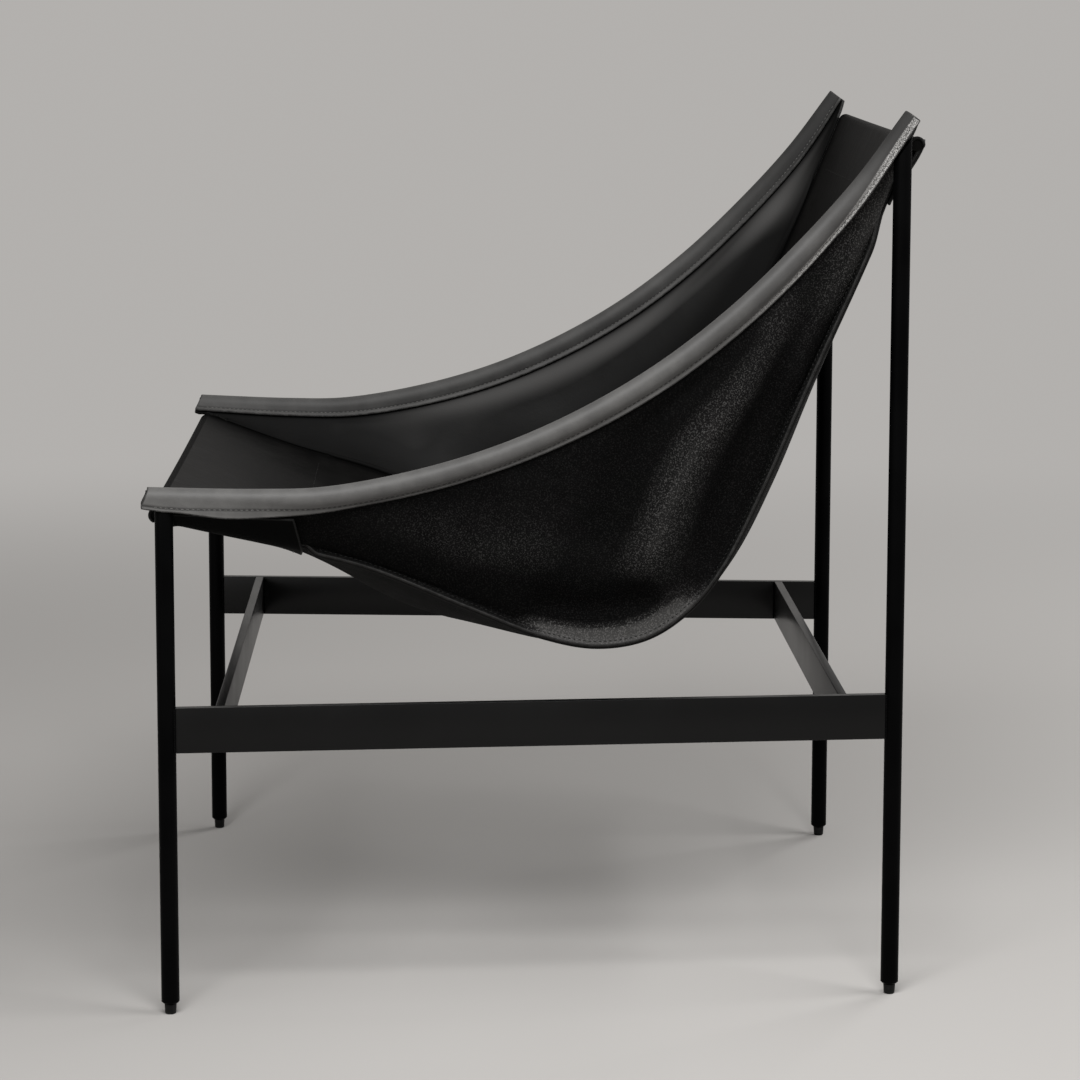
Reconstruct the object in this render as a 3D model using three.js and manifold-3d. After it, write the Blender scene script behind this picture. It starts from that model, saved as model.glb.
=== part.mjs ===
// Leather sling lounge chair: a welded frame of round steel rod and flat bar
// that carries one leather sling on two curved rails.
// Millimetres, +Z up, the chair faces -Y, and +X is the sitter's left.

import * as THREE from 'three';
import { mergeVertices } from 'three/addons/utils/BufferGeometryUtils.js';
import Module from 'manifold-3d';

const wasm = await Module();
wasm.setup();

// Plan of the frame: the four leg axes stand on a trapezoid
const legSpacing = 640;
const frontHalfWidth = 340;
const rearHalfWidth = 293;

// Legs and foot glides
const legRadius = 8;
const legChamfer = 1.5;
const legNeckRadius = 5;
const glideHeight = 9.5;
const glideTopRadius = 5.4;
const glideFootRadius = 4.9;
const glideEdge = 0.8;
const stemRadius = 3;
const stemLength = 18;
const stemBoreSpare = 2;

// Flat bars, standing on edge
const barHeight = 40;
const barThickness = 8;
const barBottom = 234;
const crossbarInset = 46;

// Curved rails on top of the legs
const railRadius = 6;
const railFrontHeight = 459;
const railTopHeight = 782.4;
const railFrontOverhang = 18;
const railTopOverhang = 8.6;
const railEndInset = 2.5;

// Sleeves: a leather strip round each rail, its two edges sewn to the side panel
const sleeveThickness = 2.5;
const sleeveRoom = 0.5;
const tailLength = 13.5;
const tailStraight = 3.5;
const tailSeamRoom = 3.5;
const frontTailTip = 9;
const frontTailAtLeg = 11;
const frontTailWidest = 16;
const frontTailWidestReach = 60;
const frontTailNarrow = 11;
const frontTailOpenReach = 30;
const frontTailCloseReach = 220;
const backTailReach = 480;
const topTailTip = 5.5;
const topTailTaperReach = 180;
const topTailOpenReach = 34;
const topTailCloseReach = 180;
const shoulderRoom = 0.8;
const rearShoulderDrop = 9.2;

// Sling: one long centre panel and two side panels
const panelThickness = 2.8;
const slingFrontDrop = 11;
const slingFrontSetback = 12.8;
const slingTopDrop = 21.5;
const slingTopSetback = 0.5;
const seamLowHeight = 320;
const seamFrontHalfWidth = 328;
const seamRearHalfWidth = 270;
const seatSag = 60;
const frontEdgeSag = 5;
const topEdgeSag = 20;
const lipLength = 8;
const hemLipLength = 1.2;
const lipRamp = 14;
const lipAngle = THREE.MathUtils.degToRad(43);
const panelStartRoom = 1.2;
const panelFreeRoom = 1;
const sideBulge = 7;

// Hems: the ends of the sling turn round a steel rod and come back underneath
const hemRodRadius = 4;
const hemRodEndRoom = 9;
const hemSideRoom = 0.45;
const frontHemLength = 130;
const topHemLength = 58;
const wingStart = 30;
const wingRamp = 26;
const wingEdgeRoom = 3;
const topWingRoom = 1.5;
const wingRakeShare = 0.33;

// Gap between pieces that touch
const fit = 0.3;
// How far a cut runs past the piece it cuts, and the size of a block that cuts off an end
const overrun = 30;
const cutBlockSize = 120;

// Rail line, from its front end to its top end: shares of the leg spacing
// behind the front leg, and shares of the rise from front to top
const railRunShares = [0.125, 0.217, 0.3375, 0.456, 0.569, 0.677, 0.777, 0.867, 0.947];
const railRiseShares = [-0.0093, -0.0056, 0.0353, 0.1033, 0.2001, 0.325, 0.4774, 0.6478, 0.8225];

// Seam line: shares of the leg spacing, and of the fall to the lowest place or
// of the rise from it
const seamFallRunShares = [0.128, 0.272, 0.414, 0.516];
const seamFallShares = [0.776, 0.575, 0.2766, 0.0695];
const seamLowRunShare = 0.589;
const seamRiseRunShares = [0.656, 0.7125, 0.758, 0.8115, 0.87, 0.947];
const seamRiseShares = [0.0159, 0.0708, 0.1551, 0.3114, 0.5103, 0.7627];

// The seam's half width falls from front to rear, most of it within this share
const seamNarrowingShare = 0.18;

// The centre panel's sag between its seams: where it is full, where it eases to the
// back's, how deep the back's is, and where it begins to ease to the top edge's
const fullSagShare = 0.25;
const backSagFromShare = 0.25;
const backSagToShare = 0.42;
const backSagShare = 0.6;
const topSagFromShare = 0.76;

// Faces along and across the pieces
const stationCount = 34;
const railSides = 12;
const sleeveArcSteps = 9;
const sagSteps = 8;
const sideSteps = 5;
const foldSteps = 5;
const hemSteps = 4;
const roundSides = 24;
// Halvings in the search for the place where the rail passes over a leg
const railHalvings = 24;

// Finishes
const steel = { color: 0x0b0b0c, roughness: 0.45, metalness: 0.6 };
const grain = { color: 0x151516, roughness: 0.42, metalness: 0 };
const hide = { color: 0x121212, roughness: 0.7, metalness: 0 };
const nylon = { color: 0x0a0a0a, roughness: 0.6, metalness: 0 };

const halfSpacing = legSpacing / 2;
const across = new THREE.Vector3(1, 0, 0);

const chair = new THREE.Group();

// Half width of the frame at a place along it, on the line through the leg axes
function frameHalfWidth(y) {
  const share = (y + halfSpacing) / legSpacing;
  return THREE.MathUtils.lerp(frontHalfWidth, rearHalfWidth, share);
}

// Eased step from zero to one while x goes from a to b
function ease(x, a, b) {
  return THREE.MathUtils.smoothstep(x, Math.min(a, b), Math.max(a, b));
}

// Centre line of the left rail
function railLine() {
  const rise = railTopHeight - railFrontHeight;
  const points = [[-halfSpacing - railFrontOverhang, railFrontHeight]];
  railRunShares.forEach((share, i) => {
    points.push([legSpacing * share - halfSpacing, railFrontHeight + rise * railRiseShares[i]]);
  });
  points.push([halfSpacing + railTopOverhang, railTopHeight]);
  const line = points.map(([y, z]) => new THREE.Vector3(frameHalfWidth(y), y, z));
  return new THREE.CatmullRomCurve3(line, false, 'centripetal');
}

// Line where the centre panel meets the left side panel
function seamLine() {
  const frontZ = railFrontHeight - slingFrontDrop;
  const topZ = railTopHeight - slingTopDrop;
  const fall = frontZ - seamLowHeight;
  const rise = topZ - seamLowHeight;
  const points = [[slingFrontSetback - halfSpacing - railFrontOverhang, frontZ]];
  seamFallRunShares.forEach((share, i) => {
    points.push([legSpacing * share - halfSpacing, seamLowHeight + fall * seamFallShares[i]]);
  });
  points.push([legSpacing * seamLowRunShare - halfSpacing, seamLowHeight]);
  seamRiseRunShares.forEach((share, i) => {
    points.push([legSpacing * share - halfSpacing, seamLowHeight + rise * seamRiseShares[i]]);
  });
  points.push([halfSpacing + railTopOverhang + slingTopSetback, topZ]);
  const line = points.map(([y, z]) => new THREE.Vector3(0, y, z));
  return new THREE.CatmullRomCurve3(line, false, 'centripetal');
}

const rail = railLine();
const seam = seamLine();
const railLength = rail.getLength();
const seamLength = seam.getLength();

// Half width of the seam at a share of its length
function seamHalfWidth(share) {
  const narrowed = (place) => 1 - Math.exp(-place / seamNarrowingShare);
  const done = narrowed(share) / narrowed(1);
  return THREE.MathUtils.lerp(seamFrontHalfWidth, seamRearHalfWidth, done);
}

// Depth of the centre panel's sag at a share of the seam
function sagAt(share) {
  const back = THREE.MathUtils.lerp(1, backSagShare, ease(share, backSagFromShare, backSagToShare));
  const fromFront = THREE.MathUtils.lerp(frontEdgeSag, seatSag * back, ease(share, 0, fullSagShare));
  return THREE.MathUtils.lerp(fromFront, topEdgeSag, ease(share, topSagFromShare, 1));
}

// Frame at a share of the rail: its centre, its run, and the two directions across
// it, towards the middle of the chair and down or back
function railFrame(share) {
  const centre = rail.getPointAt(share);
  const run = rail.getTangentAt(share);
  const inward = across.clone().negate();
  inward.addScaledVector(run, -inward.dot(run)).normalize();
  const down = new THREE.Vector3().crossVectors(inward, run).normalize();
  return { centre, run, inward, down };
}

// Frame at a share of the seam: its place, its run and the way out of the seat
function seamFrame(share) {
  const centre = seam.getPointAt(share);
  const run = seam.getTangentAt(share);
  const out = new THREE.Vector3(0, run.z, -run.y);
  centre.x = seamHalfWidth(share);
  return { centre, run, out };
}

// Direction in which the side panel leaves the rail, in the rail's own cross directions
function panelDirection(share) {
  const frame = railFrame(share);
  const reach = seamFrame(share).centre.sub(frame.centre);
  return new THREE.Vector2(reach.dot(frame.inward), reach.dot(frame.down));
}

// Solid between two sides of closed rings, with its ends filled
function loft(rings) {
  const count = rings[0].length;
  const positions = rings.flat().flatMap((p) => [p.x, p.y, p.z]);
  const index = [];
  for (let i = 0; i < rings.length - 1; i += 1) {
    for (let j = 0; j < count; j += 1) {
      const k = (j + 1) % count;
      const a = i * count + j;
      const b = i * count + k;
      const c = a + count;
      const d = b + count;
      index.push(a, b, d, a, d, c);
    }
  }
  const last = (rings.length - 1) * count;
  endFaces(rings[0]).forEach(([a, b, c]) => index.push(a, c, b));
  endFaces(rings[rings.length - 1]).forEach(([a, b, c]) => index.push(last + a, last + b, last + c));
  return closedGeometry(positions, index);
}

// Triangles that fill one flat ring, wound like the ring
function endFaces(ring) {
  const centre = new THREE.Vector3();
  ring.forEach((p) => centre.addScaledVector(p, 1 / ring.length));
  const normal = new THREE.Vector3();
  ring.forEach((p, i) => {
    const next = ring[(i + 1) % ring.length];
    normal.add(p.clone().sub(centre).cross(next.clone().sub(centre)));
  });
  normal.normalize();
  const u = ring[0].clone().sub(centre).normalize();
  const v = new THREE.Vector3().crossVectors(normal, u);
  const flat = ring.map((p) => {
    const q = p.clone().sub(centre);
    return new THREE.Vector2(q.dot(u), q.dot(v));
  });
  return THREE.ShapeUtils.triangulateShape(flat, []);
}

// Geometry from loose positions and faces, turned so that its faces point out
function closedGeometry(positions, index) {
  let volume = 0;
  const at = (i) => new THREE.Vector3().fromArray(positions, 3 * i);
  for (let i = 0; i < index.length; i += 3) {
    volume += at(index[i]).dot(at(index[i + 1]).cross(at(index[i + 2])));
  }
  if (volume < 0) {
    for (let i = 0; i < index.length; i += 3) {
      [index[i + 1], index[i + 2]] = [index[i + 2], index[i + 1]];
    }
  }
  const geometry = new THREE.BufferGeometry();
  geometry.setAttribute('position', new THREE.Float32BufferAttribute(positions, 3));
  geometry.setIndex(index);
  return geometry;
}

// Solid sheet of leather round a grid of points on its middle surface
function sheet(grid, thickness) {
  const rows = grid.length;
  const columns = grid[0].length;
  const positions = [];
  [0.5, -0.5].forEach((layerShare) => {
    grid.forEach((row, i) => row.forEach((p, j) => {
      const along = grid[Math.min(i + 1, rows - 1)][j].clone().sub(grid[Math.max(i - 1, 0)][j]);
      const wide = cornerTangent(row, j);
      const normal = new THREE.Vector3().crossVectors(along, wide).normalize();
      const q = p.clone().addScaledVector(normal, thickness * layerShare);
      positions.push(q.x, q.y, q.z);
    }));
  });
  const index = [];
  const layer = rows * columns;
  const quad = (a, b, c, d) => index.push(a, b, c, a, c, d);
  for (let i = 0; i < rows - 1; i += 1) {
    for (let j = 0; j < columns - 1; j += 1) {
      const a = i * columns + j;
      quad(a, a + 1, a + columns + 1, a + columns);
      quad(layer + a, layer + a + columns, layer + a + columns + 1, layer + a + 1);
    }
  }
  for (let i = 0; i < rows - 1; i += 1) {
    const a = i * columns;
    const b = a + columns - 1;
    quad(a, a + columns, layer + a + columns, layer + a);
    quad(b, layer + b, layer + b + columns, b + columns);
  }
  for (let j = 0; j < columns - 1; j += 1) {
    const a = j;
    const b = (rows - 1) * columns + j;
    quad(a, layer + a, layer + a + 1, a + 1);
    quad(b, b + 1, layer + b + 1, layer + b);
  }
  return closedGeometry(positions, index);
}

// Direction along a row of points, halfway between the two edges that meet there
function cornerTangent(row, j) {
  const before = row[Math.max(j - 1, 0)];
  const after = row[Math.min(j + 1, row.length - 1)];
  if (j === 0 || j === row.length - 1) {
    return after.clone().sub(before).normalize();
  }
  const first = row[j].clone().sub(before).normalize();
  return after.clone().sub(row[j]).normalize().add(first).normalize();
}

// Closed outline round a flat path, half the thickness to each side
function thickPath(path, thickness) {
  const sides = [1, -1].map((way) => path.map((p, i) => {
    const before = path[Math.max(i - 1, 0)];
    const after = path[Math.min(i + 1, path.length - 1)];
    const first = (i === 0 ? after.clone().sub(p) : p.clone().sub(before)).normalize();
    const second = (i === path.length - 1 ? first.clone() : after.clone().sub(p)).normalize();
    const miter = first.clone().add(second).normalize();
    const spread = thickness / 2 / miter.dot(first);
    return new THREE.Vector2(p.x - way * miter.y * spread, p.y + way * miter.x * spread);
  }));
  return [...sides[0], ...sides[1].reverse()];
}

function toSolid(geometry) {
  const bare = geometry.clone();
  bare.deleteAttribute('normal');
  bare.deleteAttribute('uv');
  const merged = mergeVertices(bare);
  return new wasm.Manifold(new wasm.Mesh({
    numProp: 3,
    vertProperties: new Float32Array(merged.attributes.position.array),
    triVerts: new Uint32Array(merged.index.array),
  }));
}

function toGeometry(solid) {
  const mesh = solid.getMesh();
  const geometry = new THREE.BufferGeometry();
  geometry.setAttribute('position', new THREE.BufferAttribute(mesh.vertProperties, 3));
  geometry.setIndex(new THREE.BufferAttribute(mesh.triVerts, 1));
  return geometry;
}

// The same piece on the other side of the chair
function mirrored(geometry) {
  const positions = Array.from(geometry.attributes.position.array);
  for (let i = 0; i < positions.length; i += 3) {
    positions[i] = -positions[i];
  }
  return closedGeometry(positions, Array.from(geometry.index.array));
}

function addMesh(name, geometry, finish) {
  const mesh = new THREE.Mesh(geometry, new THREE.MeshStandardMaterial(finish));
  mesh.name = name;
  chair.add(mesh);
  return mesh;
}

// A piece built for the sitter's left, and its mirror image for the right
function addPair(name, geometry, finish) {
  addMesh(`${name}_left`, geometry, finish);
  addMesh(`${name}_right`, mirrored(geometry), finish);
}

// Round bar along the rail, of the given radius, between two shares of the rail
function railRod(radius, from, to) {
  const rings = [];
  for (let i = 0; i <= stationCount; i += 1) {
    const frame = railFrame(THREE.MathUtils.lerp(from, to, i / stationCount));
    const ring = [];
    for (let j = 0; j < railSides; j += 1) {
      const angle = 2 * Math.PI * j / railSides;
      const p = frame.centre.clone().addScaledVector(frame.inward, radius * Math.cos(angle));
      ring.push(p.addScaledVector(frame.down, radius * Math.sin(angle)));
    }
    rings.push(ring);
  }
  return loft(rings);
}

// Share of the rail at which it passes over a place along the chair
function railShareAt(y) {
  let low = 0;
  let high = 1;
  for (let halving = 0; halving < railHalvings; halving += 1) {
    const middle = (low + high) / 2;
    if (rail.getPointAt(middle).y < y) {
      low = middle;
    } else {
      high = middle;
    }
  }
  return low;
}

// How far the outer edge of the sleeve hangs straight down beside the leg, from
// one at the legs to zero where both edges are sewn to the panel
function sleeveOpening(share) {
  const along = share * railLength;
  const front = 1 - ease(along, railFrontOverhang + frontTailOpenReach, frontTailCloseReach);
  const left = railLength - along;
  const top = 1 - ease(left, topTailOpenReach, topTailCloseReach);
  return Math.max(front, top);
}

// Length of the sleeve's outer edge below the rail's middle
function outerTail(share) {
  const along = share * railLength;
  const legPlace = railFrontOverhang;
  const widest = railFrontOverhang + frontTailWidestReach;
  if (along < legPlace) {
    return THREE.MathUtils.lerp(frontTailTip, frontTailAtLeg, along / legPlace);
  }
  const swell = frontTailAtLeg + (frontTailWidest - frontTailAtLeg) * ease(along, legPlace, widest);
  const narrowed = THREE.MathUtils.lerp(swell, frontTailNarrow, ease(along, widest, frontTailCloseReach));
  const grown = THREE.MathUtils.lerp(narrowed, tailLength, ease(along, frontTailCloseReach, backTailReach));
  return THREE.MathUtils.lerp(topTailTip, grown, ease(railLength - along, 0, topTailTaperReach));
}

// Middle line of the sleeve's cross section, from its outer edge over the rail to
// its inner edge, in the rail's cross directions
function sleevePath(share) {
  const reach = panelDirection(share);
  const way = reach.clone().normalize();
  const side = new THREE.Vector2(-way.y, way.x);
  const tail = Math.min(tailLength, reach.length() - tailSeamRoom);
  const knee = tail - tailStraight;
  const pressed = panelThickness / 2 + fit + sleeveThickness / 2;
  const radius = railRadius + sleeveRoom + sleeveThickness / 2;
  const opening = sleeveOpening(share);
  const hang = outerTail(share);
  const outerTailEnd = Math.min(Math.max(hang, frontTailNarrow), reach.length() - tailSeamRoom);
  const spot = (length, offset) => way.clone().multiplyScalar(length).addScaledVector(side, offset);
  const outerKnee = spot(outerTailEnd - tailStraight, pressed);
  outerKnee.lerp(new THREE.Vector2(-radius, hang - tailStraight), opening);
  outerKnee.setLength(Math.max(outerKnee.length(), radius));
  const outerEnd = spot(outerTailEnd, pressed).lerp(new THREE.Vector2(-radius, hang), opening);
  const innerKnee = spot(knee, -pressed);
  const innerEnd = spot(tail, -pressed);
  const start = outerKnee.angle() + Math.acos(Math.min(1, radius / outerKnee.length()));
  const end = innerKnee.angle() - Math.acos(Math.min(1, radius / innerKnee.length())) + 2 * Math.PI;
  const step = (end - start) / sleeveArcSteps;
  const cornerRadius = radius / Math.cos(step / 2);
  const path = [outerEnd, outerKnee];
  for (let i = 0; i < sleeveArcSteps; i += 1) {
    const angle = start + step * (i + 0.5);
    path.push(new THREE.Vector2(Math.cos(angle), Math.sin(angle)).multiplyScalar(cornerRadius));
  }
  path.push(innerKnee, innerEnd);
  return path;
}

function sleeve() {
  const rings = [];
  for (let i = 0; i <= stationCount; i += 1) {
    const share = i / stationCount;
    const frame = railFrame(share);
    rings.push(thickPath(sleevePath(share), sleeveThickness).map((p) => frame.centre.clone()
      .addScaledVector(frame.inward, p.x)
      .addScaledVector(frame.down, p.y)));
  }
  return loft(rings);
}

// Whether a share of the seam lies inside a hem: one there, zero where it is bare
function hemmedAt(share) {
  const along = share * seamLength;
  const front = ease(along, frontHemLength, frontHemLength + lipRamp);
  const top = ease(seamLength - along, topHemLength, topHemLength + lipRamp);
  return 1 - Math.min(front, top);
}

// How much of the seam's edges stands out below the sling: little inside the hems
function lipAt(share) {
  return THREE.MathUtils.lerp(lipLength, hemLipLength, hemmedAt(share));
}

// Directions at the seam: along the sewn edges, and from the centre panel's edge
// to the side panel's
function lipDirections(frame) {
  const along = across.clone().multiplyScalar(Math.cos(lipAngle));
  along.addScaledVector(frame.out, Math.sin(lipAngle));
  const apart = across.clone().multiplyScalar(Math.sin(lipAngle));
  apart.addScaledVector(frame.out, -Math.cos(lipAngle));
  return { along, apart };
}

const lipOffset = (panelThickness + fit) / 2;

// One row of the centre panel at a share of the seam, from the right edge to the left
function centreRow(share) {
  const frame = seamFrame(share);
  const { along, apart } = lipDirections(frame);
  const corner = frame.centre.clone().addScaledVector(apart, -lipOffset);
  const edge = corner.clone().addScaledVector(along, lipAt(share));
  const sag = sagAt(share);
  const half = [edge, corner];
  const row = [];
  for (let j = 1; j < sagSteps; j += 1) {
    const cross = 1 - 2 * j / sagSteps;
    const p = corner.clone().addScaledVector(frame.out, sag * (1 - cross * cross));
    p.x = corner.x * cross;
    row.push(p);
  }
  const other = half.map((p) => new THREE.Vector3(-p.x, p.y, p.z)).reverse();
  return [...half, ...row, ...other];
}

// Rows that turn the panel round its hem rod, then come back under it as the hem.
// The seam share runs from the end of the sling inwards
function hemRows(endShare, way, length, wingHeight) {
  const frame = seamFrame(endShare);
  const turnRadius = hemRodRadius + fit + panelThickness / 2;
  const base = centreRow(endShare);
  const rows = [];
  const cornerRadius = turnRadius / Math.cos(Math.PI / foldSteps / 2);
  for (let i = 0; i < foldSteps; i += 1) {
    const angle = Math.PI * (i + 0.5) / foldSteps;
    const ahead = -way * cornerRadius * Math.sin(angle);
    const below = turnRadius - cornerRadius * Math.cos(angle);
    rows.push(base.map((p) => {
      const q = p.clone().addScaledVector(frame.out, below);
      return q.addScaledVector(frame.run, ahead);
    }));
  }
  for (let i = 0; i <= hemSteps; i += 1) {
    const share = endShare + way * length / seamLength * i / hemSteps;
    rows.push(hemRow(share, i / hemSteps, turnRadius, wingHeight));
  }
  return rows;
}

// One row of the hem below the panel. The gap closes from the rod to the hem's end,
// and the wings stand up beside the side panels
function hemRow(share, done, turnRadius, wingHeight) {
  const frame = seamFrame(share);
  const row = centreRow(share);
  const gap = THREE.MathUtils.lerp(2 * turnRadius, panelThickness + fit, ease(done, 0, 1));
  const hem = row.map((p) => p.clone().addScaledVector(frame.out, gap));
  const frameUp = railFrame(share);
  const climb = frameUp.centre.clone().sub(frame.centre);
  const sideWay = climb.clone().normalize();
  const outward = new THREE.Vector3().crossVectors(frame.run, sideWay).normalize();
  if (outward.x < 0) {
    outward.negate();
  }
  const free = Math.max(climb.length() - tailLength - wingEdgeRoom, 0) + gap;
  const besideSide = panelThickness + fit + lipOffset + hemLipLength + sideSwell(climb.length());
  const level = hem[1].clone().sub(frame.centre).dot(frame.out);
  const sheer = (besideSide - level * outward.dot(frame.out)) / outward.x;
  const height = wingHeight(done, gap, free);
  const corner = hem[1].clone();
  const stand = frame.centre.x + Math.max(sheer, -gap);
  const inset = (corner.x - stand) * Math.min(1, height / gap);
  corner.lerp(hem[2], Math.max(0, inset / (corner.x - hem[2].x)));
  corner.x = hem[1].x - inset;
  const edge = corner.clone().addScaledVector(sideWay, Math.max(hemLipLength, height));
  edge.addScaledVector(frame.run, wingRakeShare * height * done);
  hem[0] = edge;
  hem[1] = corner;
  hem[hem.length - 1] = new THREE.Vector3(-edge.x, edge.y, edge.z);
  hem[hem.length - 2] = new THREE.Vector3(-corner.x, corner.y, corner.z);
  return hem;
}

// How far the side panel swells out between the sleeve and the seam
function sideSwell(depth) {
  return sideBulge * Math.min(1, depth / seamLowHeight);
}

function centrePanel() {
  const rows = [];
  const frontWings = (done, gap, free) => {
    const place = done * frontHemLength;
    return free * ease(place, wingStart, wingStart + wingRamp);
  };
  const topWings = (done, gap) => gap - topWingRoom;
  rows.push(...hemRows(0, 1, frontHemLength, frontWings).reverse());
  for (let i = 0; i <= stationCount; i += 1) {
    rows.push(centreRow(i / stationCount));
  }
  rows.push(...hemRows(1, -1, topHemLength, topWings));
  return sheet(rows, panelThickness);
}

// Row of the left side panel at a share: from inside the sleeve to the seam's edge
function sideRow(share) {
  const top = railFrame(share);
  const reach = panelDirection(share);
  const way = reach.clone().normalize();
  const spot = (length) => top.centre.clone()
    .addScaledVector(top.inward, way.x * length)
    .addScaledVector(top.down, way.y * length);
  const frame = seamFrame(share);
  const { along, apart } = lipDirections(frame);
  const corner = frame.centre.clone().addScaledVector(apart, lipOffset + hemSideRoom * hemmedAt(share));
  const edge = corner.clone().addScaledVector(along, lipAt(share));
  const start = spot(railRadius + panelStartRoom);
  const free = spot(Math.min(tailLength, reach.length() - tailSeamRoom) + panelFreeRoom);
  const depth = corner.distanceTo(free);
  const outward = new THREE.Vector3().crossVectors(frame.run, top.centre.clone().sub(corner)).normalize();
  const row = [start, free];
  for (let j = 1; j < sideSteps; j += 1) {
    const downShare = j / sideSteps;
    const p = free.clone().lerp(corner, downShare);
    row.push(p.addScaledVector(outward, sideSwell(depth) * Math.sin(Math.PI * downShare)));
  }
  row.push(corner, edge);
  return row;
}

function sidePanel() {
  const rows = [];
  for (let i = 0; i <= stationCount; i += 1) {
    rows.push(sideRow(i / stationCount));
  }
  return sheet(rows, panelThickness);
}

// Round rod inside the sling's end hem, bowed as the end hangs
function hemRod(endShare) {
  const frame = seamFrame(endShare);
  const row = centreRow(endShare).slice(1, -1);
  const last = row.length - 1;
  const drop = hemRodRadius + fit + panelThickness / 2;
  const cut = hemRodEndRoom / (row[0].x - row[1].x);
  row[0].lerp(row[1], cut);
  row[last].lerp(row[last - 1], cut);
  const rings = row.map((p) => {
    const centre = p.clone().addScaledVector(frame.out, drop);
    const ring = [];
    for (let j = 0; j < railSides; j += 1) {
      const angle = 2 * Math.PI * j / railSides;
      const q = centre.clone().addScaledVector(frame.run, hemRodRadius * Math.cos(angle));
      ring.push(q.addScaledVector(frame.out, hemRodRadius * Math.sin(angle)));
    }
    return ring;
  });
  return loft(rings);
}

// Leg: round rod with a tapped hole for the glide, and a necked top that passes
// between the sleeve's edges and is coped to the rail
function leg(y, shoulderDrop) {
  const x = frameHalfWidth(y);
  const share = railShareAt(y);
  const frame = railFrame(share);
  const bottom = glideHeight + fit;
  const boreRadius = stemRadius + fit;
  const boreTop = bottom + stemLength + stemBoreSpare;
  const top = frame.centre.z + overrun;
  const profile = [
    [boreRadius, bottom], [legRadius - legChamfer, bottom], [legRadius, bottom + legChamfer],
    [legRadius, top], [0, top], [0, boreTop], [boreRadius, boreTop - boreRadius],
    [boreRadius, bottom],
  ];
  const place = new THREE.Matrix4().makeTranslation(x, y, 0);
  const lathe = (points) => {
    const shape = new THREE.LatheGeometry(points.map(([r, z]) => new THREE.Vector2(r, z)), roundSides);
    shape.rotateX(Math.PI / 2);
    return toSolid(shape.applyMatrix4(place));
  };
  const full = lathe(profile);
  const neckBottom = boreTop + stemLength;
  const neck = lathe([[0, neckBottom], [legNeckRadius, neckBottom], [legNeckRadius, top], [0, top]]);
  const shoulder = blockAbove(frame, shoulderDrop);
  const cope = toSolid(railRod((railRadius + fit) / Math.cos(Math.PI / railSides), 0, 1));
  return toGeometry(full.subtract(shoulder).add(neck).subtract(blockAbove(frame, 0)).subtract(cope));
}

// Block that cuts off all that stands higher than a level below the rail's middle
function blockAbove(frame, level) {
  const block = new THREE.BoxGeometry(cutBlockSize, cutBlockSize, cutBlockSize);
  block.deleteAttribute('normal');
  block.deleteAttribute('uv');
  const turn = new THREE.Matrix4().makeBasis(frame.inward, frame.run, frame.down);
  turn.setPosition(frame.centre.clone().addScaledVector(frame.down, level - cutBlockSize / 2));
  const placed = mergeVertices(block).applyMatrix4(turn);
  const { position } = placed.attributes;
  return toSolid(closedGeometry(Array.from(position.array), Array.from(placed.index.array)));
}

// Clear space round a leg, as a solid
function legSpace(y, radius) {
  const height = railTopHeight + overrun;
  const shape = new THREE.CylinderGeometry(radius, radius, height, roundSides);
  shape.rotateX(Math.PI / 2);
  shape.translate(frameHalfWidth(y), y, height / 2);
  return toSolid(shape);
}

// Flat bar on edge between a front and a rear leg, its ends coped to both
function stretcher() {
  const run = new THREE.Vector3(rearHalfWidth - frontHalfWidth, legSpacing, 0);
  const length = run.length();
  const shape = new THREE.BoxGeometry(barThickness, length, barHeight);
  shape.rotateZ(Math.atan2(-run.x, run.y));
  shape.translate((frontHalfWidth + rearHalfWidth) / 2, 0, barBottom + barHeight / 2);
  const clear = (legRadius + fit) / Math.cos(Math.PI / roundSides);
  const cut = toSolid(shape).subtract(legSpace(-halfSpacing, clear)).subtract(legSpace(halfSpacing, clear));
  return toGeometry(cut);
}

// Flat bar on edge between the two stretchers, its ends cut to their slant
function crossbar(y) {
  const slant = Math.atan2(frontHalfWidth - rearHalfWidth, legSpacing);
  const inset = barThickness / 2 / Math.cos(slant) + fit;
  const front = y - barThickness / 2;
  const rear = y + barThickness / 2;
  const outline = new THREE.Shape([
    new THREE.Vector2(-frameHalfWidth(front) + inset, front),
    new THREE.Vector2(frameHalfWidth(front) - inset, front),
    new THREE.Vector2(frameHalfWidth(rear) - inset, rear),
    new THREE.Vector2(-frameHalfWidth(rear) + inset, rear),
  ]);
  const shape = new THREE.ExtrudeGeometry(outline, { depth: barHeight, bevelEnabled: false });
  shape.translate(0, 0, barBottom);
  return shape;
}

// Tapered foot glide with the stem that screws into the leg
function glide(x, y) {
  const stemTop = glideHeight + stemLength;
  const profile = [
    [0, 0], [glideFootRadius - glideEdge, 0], [glideFootRadius, glideEdge],
    [glideTopRadius, glideHeight - glideEdge], [glideTopRadius - glideEdge, glideHeight],
    [stemRadius, glideHeight], [stemRadius, stemTop - glideEdge], [stemRadius - glideEdge, stemTop],
    [0, stemTop],
  ];
  const shape = new THREE.LatheGeometry(profile.map(([r, z]) => new THREE.Vector2(r, z)), roundSides);
  shape.rotateX(Math.PI / 2);
  shape.translate(x, y, 0);
  return shape;
}

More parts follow.
